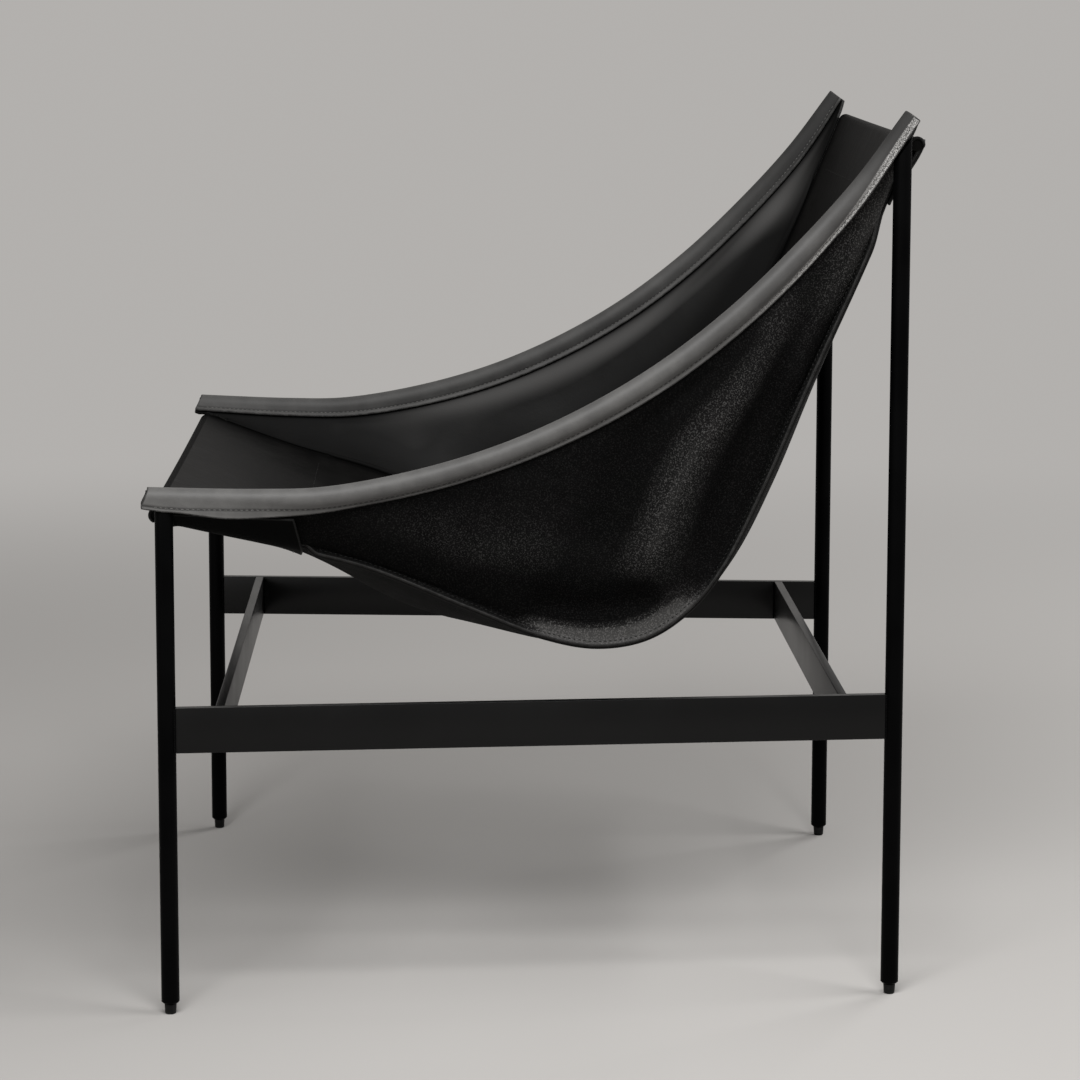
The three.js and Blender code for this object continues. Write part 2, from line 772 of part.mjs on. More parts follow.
function buildFrame() {
  const frontDrop = outerTail((railFrontOverhang + legRadius) / railLength) + shoulderRoom;
  const ends = [['front', -halfSpacing, frontDrop], ['rear', halfSpacing, rearShoulderDrop]];
  ends.forEach(([end, y, shoulderDrop]) => {
    addPair(`leg_${end}`, leg(y, shoulderDrop), steel);
    addMesh(`glide_${end}_left`, glide(frameHalfWidth(y), y), nylon);
    addMesh(`glide_${end}_right`, glide(-frameHalfWidth(y), y), nylon);
  });
  addPair('stretcher', stretcher(), steel);
  addMesh('crossbar_front', crossbar(crossbarInset - halfSpacing), steel);
  addMesh('crossbar_rear', crossbar(halfSpacing - crossbarInset), steel);
  const inset = railEndInset / railLength;
  addPair('rail', railRod(railRadius, inset, 1 - inset), steel);
}

function buildSling() {
  const neckSpace = (legNeckRadius + fit) / Math.cos(Math.PI / roundSides);
  const panel = toSolid(sidePanel());
  const clear = panel.subtract(legSpace(-halfSpacing, neckSpace)).subtract(legSpace(halfSpacing, neckSpace));
  addPair('side_panel', toGeometry(clear), hide);
  addPair('rail_sleeve', sleeve(), grain);
  addMesh('centre_panel', centrePanel(), grain);
  addMesh('hem_rod_front', hemRod(0), steel);
  addMesh('hem_rod_top', hemRod(1), steel);
}

buildFrame();
buildSling();

// The origin is on the floor, below the middle of the chair
const box = new THREE.Box3().setFromObject(chair);
chair.position.y = -(box.min.y + box.max.y) / 2;
chair.updateMatrixWorld(true);

export default chair;
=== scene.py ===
"""Leather sling lounge chair: the finish of every surface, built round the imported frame.

The chair faces -Y and +X is the sitter's left. Lengths are metres. The leather is built on the
same two lines as the frame: the rail that carries it and the seam between its panels.
"""

import logging
import math
from dataclasses import dataclass, field, replace
from enum import Enum
from typing import Callable, Iterable, Sequence

import bmesh
import bpy
import numpy as np
from mathutils import Matrix, Vector


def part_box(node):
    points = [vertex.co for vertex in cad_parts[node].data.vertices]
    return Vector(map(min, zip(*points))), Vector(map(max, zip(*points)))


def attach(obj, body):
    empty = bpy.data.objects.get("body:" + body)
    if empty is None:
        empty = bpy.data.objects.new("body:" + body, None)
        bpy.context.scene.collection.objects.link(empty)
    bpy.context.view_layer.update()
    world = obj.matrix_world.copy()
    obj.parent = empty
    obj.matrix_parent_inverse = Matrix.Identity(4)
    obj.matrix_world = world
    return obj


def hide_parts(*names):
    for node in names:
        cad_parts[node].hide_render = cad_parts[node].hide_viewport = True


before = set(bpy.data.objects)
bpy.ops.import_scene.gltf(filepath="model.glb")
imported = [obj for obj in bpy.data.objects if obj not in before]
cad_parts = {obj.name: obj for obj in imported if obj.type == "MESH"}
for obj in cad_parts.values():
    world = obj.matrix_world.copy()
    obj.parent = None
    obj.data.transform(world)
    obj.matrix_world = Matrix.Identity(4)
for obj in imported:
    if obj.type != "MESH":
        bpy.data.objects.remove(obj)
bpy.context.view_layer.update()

# A row of stitches: points on the leather and the way out of it at each
Line = tuple[np.ndarray, np.ndarray]

LOG = logging.getLogger("lounge_chair")
MM = 0.001
BODY = "root"


class Side(Enum):
    """The two sides of the chair, as the sitter names them."""

    LEFT = "left"
    RIGHT = "right"


class Face(Enum):
    """The two faces of a hide."""

    GRAIN = 1
    FLESH = -1


def ease(value: np.ndarray, start: float, end: float) -> np.ndarray:
    """Smooth step from 0 to 1.

    Args:
        value: Where to read the step.
        start: Where it leaves 0.
        end: Where it reaches 1.

    Returns:
        The step at each value.
    """
    t = np.clip((np.asarray(value, float) - start) / (end - start), 0.0, 1.0)
    return t * t * (3.0 - 2.0 * t)


def mix(a: np.ndarray, b: np.ndarray, share: np.ndarray) -> np.ndarray:
    """Straight blend from a to b."""
    return a + (b - a) * share


def unit(vectors: np.ndarray) -> np.ndarray:
    """The vectors at length 1, along the last axis."""
    length = np.linalg.norm(vectors, axis=-1, keepdims=True)
    return vectors / np.maximum(length, 1e-12)


def walked(points: np.ndarray) -> np.ndarray:
    """Distance walked from the first point to each one, along the last axis but one.

    Args:
        points: Points on one line, or on many lines at once.

    Returns:
        The distance at each point.
    """
    steps = np.linalg.norm(np.diff(points, axis=-2), axis=-1)
    start = np.zeros((*steps.shape[:-1], 1))
    return np.concatenate([start, np.cumsum(steps, axis=-1)], axis=-1)


def read_at(where: np.ndarray, places: np.ndarray, table: np.ndarray) -> np.ndarray:
    """Rows of a table that are given at places, read between them.

    Args:
        where: The places to read.
        places: The place of each of the table's rows, rising.
        table: The rows.

    Returns:
        A row for each place read.
    """
    return np.stack([np.interp(where, places, column) for column in table.T], axis=-1)


def mirrored(points: np.ndarray) -> np.ndarray:
    """Points or directions on the other side of the chair."""
    return points * np.array([-1.0, 1.0, 1.0])


def facing(eye: tuple, aim: tuple) -> Matrix:
    """Where a camera or a lamp stands that looks from eye to aim."""
    look = (Vector(aim) - Vector(eye)).to_track_quat("-Z", "Y")
    return Matrix.Translation(eye) @ look.to_matrix().to_4x4()


class SmoothLine:
    """Centripetal Catmull-Rom line through points, read by the share of its length."""

    STEPS = 240

    def __init__(self, points: Sequence[Sequence[float]]) -> None:
        """Samples the line densely.

        Args:
            points: The points that it passes through, in order.
        """
        p = np.asarray(points, float)
        p = np.vstack([2 * p[0] - p[1], p, 2 * p[-1] - p[-2]])
        t = np.linspace(0.0, 1.0, self.STEPS, endpoint=False)[:, None]
        parts = [self._stretch(*p[i : i + 4], t) for i in range(len(p) - 3)]
        self.samples = np.vstack([*parts, p[-2]])
        self.along = walked(self.samples)
        self.length = float(self.along[-1])
        self.tangents = unit(np.gradient(self.samples, self.along, axis=0))

    @staticmethod
    def _stretch(
        p0: np.ndarray, p1: np.ndarray, p2: np.ndarray, p3: np.ndarray, t: np.ndarray
    ) -> np.ndarray:
        """Points between p1 and p2 at shares t.

        Args:
            p0: The point before.
            p1: The first point.
            p2: The second point.
            p3: The point after.
            t: Shares of the way.

        Returns:
            The points.
        """
        d0, d1, d2 = (math.sqrt(np.linalg.norm(b - a)) for a, b in ((p0, p1), (p1, p2), (p2, p3)))
        m1 = ((p1 - p0) / d0 - (p2 - p0) / (d0 + d1) + (p2 - p1) / d1) * d1
        m2 = ((p2 - p1) / d1 - (p3 - p1) / (d1 + d2) + (p3 - p2) / d2) * d1
        cubic = 2 * p1 - 2 * p2 + m1 + m2
        square = -3 * p1 + 3 * p2 - 2 * m1 - m2
        return p1 + m1 * t + square * t**2 + cubic * t**3

    def at(self, share: np.ndarray) -> np.ndarray:
        """Points at shares of the length."""
        return read_at(np.asarray(share, float) * self.length, self.along, self.samples)

    def run(self, share: np.ndarray) -> np.ndarray:
        """Directions at shares of the length."""
        return unit(read_at(np.asarray(share, float) * self.length, self.along, self.tangents))


@dataclass(frozen=True)
class SlingSizes:
    """Sizes of the sling and its rails, as the frame was built, in metres."""

    leg_spacing: float = 640 * MM
    front_half_width: float = 340 * MM
    rear_half_width: float = 293 * MM
    rail_radius: float = 6 * MM
    rail_front_height: float = 459 * MM
    rail_top_height: float = 782.4 * MM
    rail_front_overhang: float = 18 * MM
    rail_top_overhang: float = 8.6 * MM
    strip_thickness: float = 2.5 * MM
    strip_room: float = 0.5 * MM
    tail: float = 13.5 * MM
    tail_straight: float = 3.5 * MM
    tail_seam_room: float = 3.5 * MM
    tip_tail: float = 9 * MM
    leg_tail: float = 11 * MM
    widest_tail: float = 16 * MM
    widest_reach: float = 60 * MM
    narrow_tail: float = 11 * MM
    front_open_reach: float = 30 * MM
    front_close_reach: float = 220 * MM
    back_tail_reach: float = 480 * MM
    top_tip_tail: float = 5.5 * MM
    top_taper_reach: float = 180 * MM
    top_open_reach: float = 34 * MM
    top_close_reach: float = 180 * MM
    hide_thickness: float = 2.8 * MM
    fit: float = 0.3 * MM
    sling_front_drop: float = 11 * MM
    sling_front_setback: float = 12.8 * MM
    sling_top_drop: float = 21.5 * MM
    sling_top_setback: float = 0.5 * MM
    seam_low_height: float = 320 * MM
    seam_front_half_width: float = 328 * MM
    seam_rear_half_width: float = 270 * MM
    seam_narrowing_share: float = 0.18
    seat_sag: float = 60 * MM
    back_sag: float = 36 * MM
    front_edge_sag: float = 5 * MM
    top_edge_sag: float = 20 * MM
    lip: float = 8 * MM
    hem_lip: float = 1.2 * MM
    lip_ramp: float = 14 * MM
    top_lip_ramp: float = 45 * MM
    lip_angle: float = math.radians(43)
    side_bulge: float = 7 * MM
    hem_rod_radius: float = 4 * MM
    hem_side_room: float = 0.45 * MM
    front_hem: float = 130 * MM
    top_hem: float = 58 * MM
    wing_start: float = 15 * MM
    wing_ramp: float = 12 * MM
    wing_rake_share: float = 0.33
    wing_edge_room: float = 3 * MM
    top_wing_room: float = 1.5 * MM
    panel_start_room: float = 1.2 * MM
    panel_free_room: float = 1 * MM

    # Shares of the leg spacing behind the front leg, and of the rise or fall
    rail_run_shares: tuple = (0.125, 0.217, 0.3375, 0.456, 0.569, 0.677, 0.777, 0.867, 0.947)
    rail_rise_shares: tuple = (
        -0.0093, -0.0056, 0.0353, 0.1033, 0.2001, 0.325, 0.4774, 0.6478, 0.8225
    )
    fall_run_shares: tuple = (0.128, 0.272, 0.414, 0.516)
    fall_shares: tuple = (0.776, 0.575, 0.2766, 0.0695)
    low_run_share: float = 0.589
    rise_run_shares: tuple = (0.656, 0.7125, 0.758, 0.8115, 0.87, 0.947)
    rise_shares: tuple = (0.0159, 0.0708, 0.1551, 0.3114, 0.5103, 0.7627)

    # Shares of the seam where the sag is full, eases to the back's and to the top edge's
    full_sag_share: float = 0.25
    back_sag_shares: tuple = (0.25, 0.42)
    top_sag_share: float = 0.76

    @property
    def hem_turn(self) -> float:
        """Radius at which a hem's hide turns round its rod."""
        return self.hem_rod_radius + self.fit + self.hide_thickness / 2


class SlingForm:
    """Where the rails and the seams run, and how the leather hangs between them."""

    def __init__(self, sizes: SlingSizes) -> None:
        """Lays out the left rail and the left seam.

        Args:
            sizes: The sizes that the sling is built to.
        """
        self.sizes = sizes
        low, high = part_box("leg_front_left")
        self.shift = (low[1] + high[1]) / 2 + sizes.leg_spacing / 2
        self.rail = SmoothLine(self._rail_points())
        self.seam = SmoothLine(self._seam_points())

    def _rail_points(self) -> list[tuple[float, float, float]]:
        """Points of the left rail's middle, from front to top.

        Returns:
            The points.
        """
        z = self.sizes
        half = z.leg_spacing / 2
        rise = z.rail_top_height - z.rail_front_height
        runs = [-half - z.rail_front_overhang]
        runs += [z.leg_spacing * share - half for share in z.rail_run_shares]
        runs.append(half + z.rail_top_overhang)
        heights = [0.0, *z.rail_rise_shares, 1.0]
        return [
            (self.half_width(y), y, z.rail_front_height + rise * share)
            for y, share in zip(runs, heights)
        ]

    def _seam_points(self) -> list[tuple[float, float, float]]:
        """Points of the seam in the chair's middle plane, from front to top.

        Returns:
            The points.
        """
        z = self.sizes
        half = z.leg_spacing / 2
        front = z.rail_front_height - z.sling_front_drop
        top = z.rail_top_height - z.sling_top_drop
        low = z.seam_low_height
        points = [(0.0, z.sling_front_setback - half - z.rail_front_overhang, front)]
        for run, share in zip(z.fall_run_shares, z.fall_shares):
            points.append((0.0, z.leg_spacing * run - half, mix(low, front, share)))
        points.append((0.0, z.leg_spacing * z.low_run_share - half, low))
        for run, share in zip(z.rise_run_shares, z.rise_shares):
            points.append((0.0, z.leg_spacing * run - half, mix(low, top, share)))
        points.append((0.0, half + z.rail_top_overhang + z.sling_top_setback, top))
        return points

    def half_width(self, y: np.ndarray) -> np.ndarray:
        """Half width of the frame on the line through the leg axes.

        Args:
            y: Places from front to back.

        Returns:
            The half width at each.
        """
        z = self.sizes
        share = (y + z.leg_spacing / 2) / z.leg_spacing
        return mix(z.front_half_width, z.rear_half_width, share)

    def rail_frame(self, share: np.ndarray) -> tuple[np.ndarray, ...]:
        """The left rail at shares of its length.

        Args:
            share: Shares of the rail's length.

        Returns:
            Its middle, its run, and the directions to the chair's middle and down or back.
        """
        centre, run = self.rail.at(share), self.rail.run(share)
        inward = np.zeros_like(run)
        inward[..., 0] = -1.0
        inward = unit(inward - run * np.sum(inward * run, axis=-1, keepdims=True))
        return centre, run, inward, np.cross(inward, run)

    def seam_frame(self, share: np.ndarray) -> tuple[np.ndarray, ...]:
        """The left seam at shares of its length.

        Args:
            share: Shares of the seam's length.

        Returns:
            Its place, its run and the way out of the seat.
        """
        centre, run = self.seam.at(share), self.seam.run(share)
        narrow = self.sizes.seam_narrowing_share
        done = (1 - np.exp(-np.asarray(share) / narrow)) / (1 - math.exp(-1 / narrow))
        centre[..., 0] = mix(
            self.sizes.seam_front_half_width, self.sizes.seam_rear_half_width, done
        )
        out = np.stack([np.zeros_like(run[..., 0]), run[..., 2], -run[..., 1]], axis=-1)
        return centre, run, out

    def panel_direction(self, share: np.ndarray) -> np.ndarray:
        """From the rail to the seam, in the rail's inward and down directions.

        Args:
            share: Shares of the rail and of the seam.

        Returns:
            The reach in the two directions.
        """
        centre, _, inward, down = self.rail_frame(share)
        reach = self.seam_frame(share)[0] - centre
        return np.stack([np.sum(reach * way, -1) for way in (inward, down)], axis=-1)

    def hemmed(self, share: np.ndarray) -> np.ndarray:
        """One where the seam lies inside a hem, zero where it is bare.

        Args:
            share: Shares of the seam.

        Returns:
            How far each is inside a hem.
        """
        z, along = self.sizes, np.asarray(share) * self.seam.length
        front = ease(along, z.front_hem, z.front_hem + z.lip_ramp)
        top = ease(self.seam.length - along, z.top_hem, z.top_hem + z.top_lip_ramp)
        return 1 - np.minimum(front, top)

    def lip_length(self, share: np.ndarray) -> np.ndarray:
        """How far the sewn edges stand out below the sling."""
        return mix(self.sizes.lip, self.sizes.hem_lip, self.hemmed(share))

    def lip_directions(self, out: np.ndarray) -> tuple[np.ndarray, np.ndarray]:
        """Along the sewn edges, and from the centre panel's edge to the side panel's.

        Args:
            out: Ways out of the seat.

        Returns:
            The two directions.
        """
        across = np.zeros_like(out)
        across[..., 0] = 1.0
        angle = self.sizes.lip_angle
        along = across * math.cos(angle) + out * math.sin(angle)
        return along, across * math.sin(angle) - out * math.cos(angle)

    def sag(self, share: np.ndarray) -> np.ndarray:
        """Depth of the centre panel's sag between its seams.

        Args:
            share: Shares of the seam.

        Returns:
            The depth in the middle at each.
        """
        z = self.sizes
        depth = mix(z.seat_sag, z.back_sag, ease(share, *z.back_sag_shares))
        depth = mix(z.front_edge_sag, depth, ease(share, 0, z.full_sag_share))
        return mix(depth, z.top_edge_sag, ease(share, z.top_sag_share, 1.0))

    def swell(self, depth: np.ndarray) -> np.ndarray:
        """How far a side panel of some depth swells out."""
        return self.sizes.side_bulge * np.minimum(1.0, depth / self.sizes.seam_low_height)

    def placed(self, points: np.ndarray) -> np.ndarray:
        """Points worked out round the legs' middle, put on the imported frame."""
        return points + np.array([0.0, self.shift, 0.0])


class Maker:
    """Small helpers for objects and meshes."""

    @staticmethod
    def deselect() -> None:
        """Leaves nothing selected or active."""
        for obj in bpy.context.selected_objects:
            obj.select_set(False)
        bpy.context.view_layer.objects.active = None

    @staticmethod
    def activate(obj: bpy.types.Object) -> None:
        """Selects one object alone and makes it active.

        Args:
            obj: The object.
        """
        Maker.deselect()
        obj.select_set(True)
        bpy.context.view_layer.objects.active = obj

    @staticmethod
    def mesh_object(
        name: str, points: np.ndarray, faces: Sequence[Sequence[int]]
    ) -> bpy.types.Object:
        """A new smooth mesh object at the origin.

        Args:
            name: The piece's name.
            points: Its vertices.
            faces: Vertex numbers of each face.

        Returns:
            The object.
        """
        mesh = bpy.data.meshes.new(name)
        mesh.from_pydata(points.tolist(), [], [list(f) for f in faces])
        mesh.polygons.foreach_set("use_smooth", [True] * len(mesh.polygons))
        mesh.update()
        obj = bpy.data.objects.new(name, mesh)
        bpy.context.scene.collection.objects.link(obj)
        return obj

    @staticmethod
    def apply_modifiers(obj: bpy.types.Object) -> None:
        """Applies all of an object's modifiers, first to last.

        Args:
            obj: The object.
        """
        Maker.activate(obj)
        for modifier in list(obj.modifiers):
            bpy.ops.object.modifier_apply(modifier=modifier.name)

    @staticmethod
    def settle(obj: bpy.types.Object) -> None:
        """Puts an object's place into its mesh, so that the object sits at the origin."""
        Maker.activate(obj)
        bpy.ops.object.transform_apply(location=True, rotation=True, scale=True)

    @staticmethod
    def report(obj: bpy.types.Object, slot: str, *nodes: str) -> None:
        """Rides a finished piece on the chair, hides the nodes that it stands in for and logs its
        slot.

        Args:
            obj: The piece.
            slot: The record's material slot.
            nodes: The nodes that it replaces.
        """
        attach(obj, BODY)
        if nodes:
            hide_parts(*nodes)
        LOG.info("%s: %d faces, slot %s", obj.name, len(obj.data.polygons), slot)


class Wire:
    """An output socket that takes part in Python sums, which become Math nodes."""

    def __init__(self, bench: "Bench", socket: bpy.types.NodeSocket) -> None:
        """Wraps a socket.

        Args:
            bench: The bench whose nodes it belongs to.
            socket: The output socket.
        """
        self.bench = bench
        self.socket = socket

    def _sum(self, operation: str, *values: "Wire | float") -> "Wire":
        """A Math node over the values."""
        settings = {"operation": operation}
        return self.bench.node("ShaderNodeMath", settings, dict(enumerate(values))).out()

    def __add__(self, other: "Wire | float") -> "Wire":
        """Sum."""
        return self._sum("ADD", self, other)

    __radd__ = __add__

    def __sub__(self, other: "Wire | float") -> "Wire":
        """Difference."""
        return self._sum("SUBTRACT", self, other)

    def __rsub__(self, other: float) -> "Wire":
        """Difference from a number."""
        return self._sum("SUBTRACT", other, self)

    def __mul__(self, other: "Wire | float") -> "Wire":
        """Product."""
        return self._sum("MULTIPLY", self, other)

    __rmul__ = __mul__

    def most(self, other: "Wire | float") -> "Wire":
        """The greater of two values."""
        return self._sum("MAXIMUM", self, other)

    def step(self, start: float, end: float) -> "Wire":
        """A smooth step from 0 to 1.

        Args:
            start: Where it leaves 0.
            end: Where it reaches 1.

        Returns:
            The step.
        """
        settings = {"interpolation_type": "SMOOTHSTEP"}
        values = {"Value": self, "From Min": start, "From Max": end}
        return self.bench.node("ShaderNodeMapRange", settings, values).out()


class Step:
    """A node just made, whose outputs are read as wires."""

    def __init__(self, bench: "Bench", node: bpy.types.Node) -> None:
        """Wraps a node.

        Args:
            bench: The bench that it stands on.
            node: The node.
        """
        self.bench = bench
        self.node = node

    def out(self, name: str | int = 0) -> Wire:
        """One of the node's outputs."""
        return Wire(self.bench, self.node.outputs[name])


class Bench:
    """A node tree, emptied and ready for a finish or a backdrop."""

    def __init__(self, owner: bpy.types.Material | bpy.types.World, result: str) -> None:
        """Clears a tree.

        Args:
            owner: What the tree belongs to.
            result: The type of its last node.
        """
        self.owner = owner
        owner.use_nodes = True
        self.tree = owner.node_tree
        self.tree.nodes.clear()
        self.result = self.tree.nodes.new(result)

    @classmethod
    def material(cls, name: str) -> "Bench":
        """The bench of a new material."""
        return cls(bpy.data.materials.new(name), "ShaderNodeOutputMaterial")

    def node(self, kind: str, settings: dict | None = None, values: dict | None = None) -> Step:
        """Adds one node.

        Args:
            kind: The node's type.
            settings: Its properties, set before its sockets.
            values: Numbers, colours or wires by input socket.

        Returns:
            The node.
        """
        made = self.tree.nodes.new(kind)
        for key, value in (settings or {}).items():
            setattr(made, key, value)
        for key, value in (values or {}).items():
            if isinstance(value, Wire):
                self.tree.links.new(value.socket, made.inputs[key])
            else:
                made.inputs[key].default_value = value
        return Step(self, made)

    def place(self, scale: Sequence[float] = (1.0, 1.0, 1.0)) -> Wire:
        """Object coordinates, stretched by a scale."""
        where = self.node("ShaderNodeTexCoord").out("Object")
        return self.node("ShaderNodeMapping", None, {"Vector": where, "Scale": scale}).out()

    def noise(
        self, scale: float, detail: float = 3.0, rough: float = 0.5,
        stretch: Sequence[float] = (1.0, 1.0, 1.0),
    ) -> Wire:
        """Soft noise from 0 to 1, with cells of 1/scale metres.

        Args:
            scale: Cells in a metre.
            detail: Finer layers on top.
            rough: How strong each finer layer is.
            stretch: How much denser it is along each axis.

        Returns:
            The noise.
        """
        values = {"Vector": self.place(stretch), "Scale": scale}
        values |= {"Detail": detail, "Roughness": rough}
        return self.node("ShaderNodeTexNoise", None, values).out(0)

    def cells(self, scale: float) -> Wire:
        """Distance from the middle of round cells of 1/scale metres."""
        values = {"Vector": self.place(), "Scale": scale}
        return self.node("ShaderNodeTexVoronoi", {"feature": "SMOOTH_F1"}, values).out("Distance")

    def attribute(self, name: str) -> Wire:
        """A number kept on the mesh's points."""
        return self.node("ShaderNodeAttribute", {"attribute_name": name}).out("Fac")

    def shade(self, under: Wire | tuple, over: tuple, share: Wire) -> Wire:
        """A colour between two, the first of which may itself be a mix.

        Args:
            under: The first colour.
            over: The second colour.
            share: Share of the second.

        Returns:
            The mix.
        """
        under = under if isinstance(under, Wire) else (*under, 1.0)
        values = {0: share, 6: under, 7: (*over, 1.0)}
        return self.node("ShaderNodeMix", {"data_type": "RGBA"}, values).out(2)

    def bump(self, height: Wire, distance: float, strength: float, **below: Wire) -> Wire:
        """A normal raised by a height, on top of an earlier one if given."""
        values = {"Height": height, "Distance": distance, "Strength": strength, **below}
        return self.node("ShaderNodeBump", None, values).out()

    def surface(self, shader: Wire) -> bpy.types.Material | bpy.types.World:
        """Ends the tree with a shader."""
        self.tree.links.new(shader.socket, self.result.inputs["Surface"])
        return self.owner

    def finish(self, colour: Wire, rough: Wire, relief: Wire, gloss: float) -> bpy.types.Material:
        """Ends the material as a plain surface.

        Args:
            colour: Its colour.
            rough: Its roughness.
            relief: Its normal.
            gloss: Its level of gloss, the same all over.

        Returns:
            The material.
        """
        values = {"Base Color": colour, "Roughness": rough, "Normal": relief}
        values |= {"Specular IOR Level": gloss}
        return self.surface(self.node("ShaderNodeBsdfPrincipled", None, values).out())


@dataclass(frozen=True)
class GrainLeather:
    """Dyed hide, grain side: near black, soft sheen, fine pores and faint creases."""

    name: str = "grain_leather"
    dark: tuple = (0.0036, 0.0035, 0.0034)
    light: tuple = (0.0120, 0.0117, 0.0113)
    # Colour of edge wear and scratches, and also of the painted highlight that the raised mark lays
    worn: tuple = (0.085, 0.083, 0.081)
    # Colour of painted shade: creases, seams, grooves and shaded parts are darkened towards it
    crease: tuple = (0.0008, 0.0008, 0.0008)
    edge_wear: float = 0.12
    speckle: float = 0.0
    roughness: float = 0.44
    specular: float = 0.09

    def make(self) -> bpy.types.Material:
        """Builds the material.

        Returns:
            The material.
        """
        bench = Bench.material(self.name)
        cloud = bench.noise(7.0, 4.0)
        patch = bench.noise(38.0, 5.0, 0.6)
        pores = bench.cells(1150.0)
        pebble = bench.cells(520.0)
        fine = bench.noise(2600.0, 3.0, 0.6)
        crease = bench.noise(60.0, 2.0, 0.5, (3.0, 0.7, 0.7))
        streak = bench.noise(26.0, 2.0, 0.5, (0.5, 6.0, 18.0)).step(0.70, 0.78)
        dots = bench.noise(1500.0, 3.0, 0.6).step(0.40, 0.58) * self.speckle
        # Edge wear, and the raised mark: wear on the strips' margins, painted highlight on the side
        # panels
        wear_and_painted_light = bench.attribute("raised").most(0.0) * (dots + (1.0 - self.speckle))
        wear = (bench.attribute("edge") * patch.step(0.35, 0.7) * self.edge_wear).most(wear_and_painted_light)
        tone = (cloud * 0.6 + patch * 0.5).step(0.35, 0.85)
        colour = bench.shade(self.dark, self.light, tone)
        colour = bench.shade(colour, self.worn, wear + streak * 0.04)
        # Painted shade: the colour is darkened towards the crease colour where the shade mark is
        # set
        painted_shade = bench.attribute("painted_shade")
        colour = bench.shade(colour, self.crease, painted_shade * (1 - wear_and_painted_light) * 0.9)
        rough = self.roughness + (patch - 0.5) * 0.16 + (cloud - 0.5) * 0.12 + wear * 0.18
        rough = rough + painted_shade * 0.3
        relief = bench.bump(crease, 0.9 * MM, 0.25)
        grain = pebble * 0.6 + pores * 0.5 + fine * 0.25
        relief = bench.bump(grain, 0.16 * MM, 0.55, Normal=relief)
        return bench.finish(colour, rough, relief, self.specular)


@dataclass(frozen=True)
class SeatLeather(GrainLeather):
    """The same hide where it is sat on: flatter, and black."""

    name: str = "seat_leather"
    dark: tuple = (0.0024, 0.0023, 0.0023)
    light: tuple = (0.0080, 0.0077, 0.0074)
    roughness: float = 0.50
    specular: float = 0.04


@dataclass(frozen=True)
class SleeveLeather(GrainLeather):
    """The same hide on the sleeves: greyer as a painted sheen, with a broad soft sheen too."""

    name: str = "sleeve_leather"
    dark: tuple = (0.064, 0.0626, 0.0613)
    light: tuple = (0.122, 0.1196, 0.116)
    worn: tuple = (0.42, 0.412, 0.40)
    edge_wear: float = 0.06
    speckle: float = 1.0
    roughness: float = 0.55
    specular: float = 0.32


@dataclass(frozen=True)
class RoughLeather:
    """Dyed hide, flesh side: dull black nap with paler fibres and scuffs."""

    name: str = "rough_leather"
    dark: tuple = (0.0008, 0.0008, 0.0008)
    light: tuple = (0.0072, 0.0070, 0.0069)
    fibre: tuple = (0.090, 0.088, 0.0856)
    roughness: float = 0.78
    specular: float = 0.05

    def make(self) -> bpy.types.Material:
        """Builds the material.

        Returns:
            The material.
        """
        bench = Bench.material(self.name)
        cloud = bench.noise(9.0, 4.0, 0.6)
        blotch = bench.noise(55.0, 5.0, 0.62)
        nap = bench.noise(620.0, 4.0, 0.7)
        speck = bench.noise(760.0, 3.0, 0.62).step(0.52, 0.62)
        wear = bench.attribute("edge")
        # The raised mark is painted light here: lighter on fold ridges and the crescent, darker in
        # hollows
        raised = bench.attribute("raised")
        tone = (cloud * 0.45 + blotch * 0.45 + nap * 0.30 + raised * 0.50).step(0.45, 1.15)
        colour = bench.shade(self.dark, self.light, tone)
        # Paler fibres at random, and a painted highlight where the raised mark is high
        high = raised.most(0.0)
        show = speck * (cloud * 0.10 + 0.03 + high * 0.55) + (high - 1.0).most(0.0) * 0.6
        show = show + wear * nap.step(0.35, 0.7) * 0.12
        colour = bench.shade(colour, self.fibre, show)
        rough = self.roughness + (blotch - 0.5) * 0.25
        relief = bench.bump(blotch, 0.8 * MM, 0.35)
        relief = bench.bump(nap, 0.7 * MM, 0.8, Normal=relief)
        return bench.finish(colour, rough, relief, self.specular)


@dataclass(frozen=True)
class CutEdge:
    """The cut edge of a hide: dyed fibres, a little paler than its faces."""

    name: str = "cut_edge"
    dark: tuple = (0.0030, 0.0029, 0.0028)
    light: tuple = (0.0125, 0.0122, 0.0118)
    specular: float = 0.12

    def make(self) -> bpy.types.Material:
        """Builds the material.

        Returns:
            The material.
        """
        bench = Bench.material(self.name)
        fibre = bench.noise(900.0, 4.0, 0.7)
        band = bench.noise(160.0, 3.0)
        colour = bench.shade(self.dark, self.light, (fibre * 0.7 + band * 0.5).step(0.4, 0.95))
        relief = bench.bump(fibre, 0.35 * MM, 0.7)
        return bench.finish(colour, 0.62 + (band - 0.5) * 0.2, relief, self.specular)


@dataclass(frozen=True)
class PanelEdge(CutEdge):
    """The cut edge of a side panel, a little paler."""

    name: str = "panel_edge"
    dark: tuple = (0.0090, 0.0088, 0.0086)
    light: tuple = (0.042, 0.0411, 0.040)


@dataclass(frozen=True)
class RubbedEdge(CutEdge):
    """The cut edge of a sleeve, rubbed pale."""

    name: str = "rubbed_edge"
    dark: tuple = (0.022, 0.0215, 0.021)
    light: tuple = (0.10, 0.098, 0.095)


